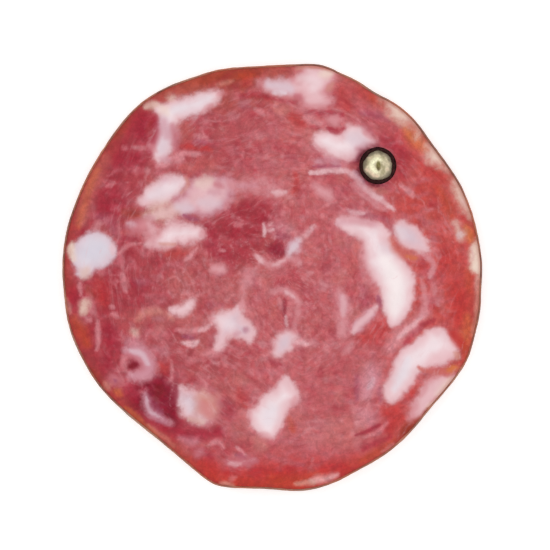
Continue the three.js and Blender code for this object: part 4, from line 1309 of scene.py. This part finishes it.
def kernelSurface(x, y):
    # height above the cut face and colour at a place on the kernel, measured from its middle
    r = np.hypot(x, y)
    slot = np.hypot((x - 0.08) / cornLook["slotWide"], y / cornLook["slotLong"])
    inSlot = 1 - smooth(slot, 0.5, 1.15)
    height = (0.04 + 0.05 * np.exp(-((r - 0.95) / 0.35) ** 2) - cornLook["slotDeep"] * inSlot
              - 0.10 * smooth(r, 1.6, 1.97) + 0.03 * turbulence(x, y, 0.5, 71, 3))
    angle = np.arctan2(y, x)
    bright = np.exp(-((r - 0.8) / 0.36) ** 2) * smooth(np.cos(angle - 2.9), -0.95, 0.3)
    tone = linear((206, 192, 160)) * np.ones((len(x), 1))
    mottle = turbulence(x, y, 0.8, 91, 3)
    olive = np.exp(-((x + 0.9) ** 2 + (y - 0.95) ** 2) / 0.5) + smooth(mottle, 0.0, 0.5)
    pinkish = np.exp(-((x + 0.7) ** 2 + (y + 1.1) ** 2) / 0.4) + smooth(-mottle, 0.05, 0.5)
    tone = tone + (linear((152, 142, 104)) - tone) * (0.75 * np.clip(olive, 0, 1))[:, None]
    tone = tone + (linear((228, 192, 166)) - tone) * (0.6 * np.clip(pinkish, 0, 1))[:, None]
    tone = tone + (linear((248, 244, 204)) - tone) * bright[:, None]
    tone = tone + (linear((104, 90, 72)) - tone) * smooth(r + 0.3 * mottle, 1.35, 1.8)[:, None] * 0.75
    tone = tone + (linear((146, 138, 80)) - tone) * inSlot[:, None]
    low = inSlot * smooth(-y, -0.1, 0.6)
    return height, tone + (linear((92, 70, 44)) - tone) * (low * 0.85)[:, None]


def makeKernel():
    around = 120
    angle = np.linspace(0, 2 * math.pi, around, endpoint=False)
    inside = cornLook["skin"] + cornLook["crack"] + kernelEdge(angle)
    outer = cornRadiusAt(sliceTop) - inside
    outerUnder = cornRadiusAt(0) - inside
    points, tones = [[0, 0, 0]], [linear((96, 92, 44))]
    levels = [("top", t) for t in np.linspace(0.05, 1, 24)] + [("wall", t) for t in (0.7, 0.4)]
    levels += [("under", t) for t in np.linspace(1, 0.06, 12)]
    for kind, t in levels:
        if kind == "top":
            x, y = outer * t * np.cos(angle), outer * t * np.sin(angle)
            height, tone = kernelSurface(x, y)
            z = sliceTop + height
        elif kind == "wall":
            r = outerUnder + (outer - outerUnder) * t
            x, y, z = r * np.cos(angle), r * np.sin(angle), np.full(around, sliceTop * t)
            tone = np.tile(linear((150, 130, 100)), (around, 1))
        else:
            x, y = outerUnder * t * np.cos(angle), outerUnder * t * np.sin(angle)
            height, tone = kernelSurface(x * 1.25, y * 1.25)
            z = 0.05 - np.minimum(height, 0.04) * 0.5
        points += np.column_stack([x, y, z]).tolist()
        tones += tone.tolist()
    height, tone = kernelSurface(np.zeros(1), np.zeros(1))
    points[0][2] = sliceTop + float(height[0])
    points.append([0, 0, 0.05 - float(height[0]) * 0.5])
    tones.append(tone[0].tolist())
    faces = [(0, 1 + k, 1 + (k + 1) % around) for k in range(around)]
    for a, b, c, d in gridOfTurns(len(levels), around):
        faces.append((a + 1, d + 1, c + 1, b + 1))
    last = 1 + (len(levels) - 1) * around
    faces += [(len(points) - 1, last + (k + 1) % around, last + k) for k in range(around)]
    placed = np.array(points)
    placed[:, :2] += cornMiddle
    kernel = makeMesh("peppercorn_kernel", placed, faces)
    addColour(kernel, "kernelTone", np.array([np.asarray(t) for t in tones]))
    return kernel


cornSkin = makeCornSkin()
cornSkin.data.materials.append(cornSkinMaterial())
finishPiece(cornSkin, "peppercorn", "peppercorn")
kernel = makeKernel()
kernel.data.materials.append(kernelMaterial())
finishPiece(kernel, "peppercorn", "peppercorn")
print("peppercorn made")

# table and light

def addFloor():
    side = 0.6
    mesh = bpy.data.meshes.new("pale_table")
    corners = [(-side, -side, 0), (side, -side, 0), (side, side, 0), (-side, side, 0)]
    mesh.from_pydata(corners, [], [(0, 1, 2, 3)])
    floor = bpy.data.objects.new("pale_table", mesh)
    scene.collection.objects.link(floor)
    material, tree, shader = newMaterial("pale_table_top")
    shader.inputs["Base Color"].default_value = (0.93, 0.93, 0.93, 1)
    shader.inputs["Roughness"].default_value = 0.9
    shader.inputs["Emission Color"].default_value = (1, 1, 1, 1)
    shader.inputs["Emission Strength"].default_value = studio["floorGlow"]
    mesh.materials.append(material)


def addLight():
    world = bpy.data.worlds.new("soft_studio")
    world.use_nodes = True
    tree = world.node_tree
    # bright all round, dimmer overhead
    apart = node(tree, "ShaderNodeSeparateXYZ")
    tree.links.new(node(tree, "ShaderNodeTexCoord").outputs["Generated"], apart.inputs[0])
    strength = rangeNode(tree, apart.outputs["Z"], 0.7, 0.93, studio["side"], studio["overhead"])
    tree.nodes["Background"].inputs["Color"].default_value = (1, 1, 1, 1)
    tree.links.new(strength, tree.nodes["Background"].inputs["Strength"])
    scene.world = world
    for name, place, power in (("window_left", (-0.45, 0.35, 0.5), studio["key"]),
                               ("window_right", (0.5, -0.1, 0.45), studio["key"] * 0.5)):
        data = bpy.data.lights.new(name, "AREA")
        data.energy = power
        data.size = studio["keySize"]
        light = bpy.data.objects.new(name, data)
        light.location = place
        light.rotation_euler = (-Vector(place)).to_track_quat("-Z", "Y").to_euler()
        scene.collection.objects.link(light)


addFloor()
addLight()
scene.view_settings.view_transform = "Standard"
scene.view_settings.look = "None"
print("table and light set")

bpy.context.view_layer.update()
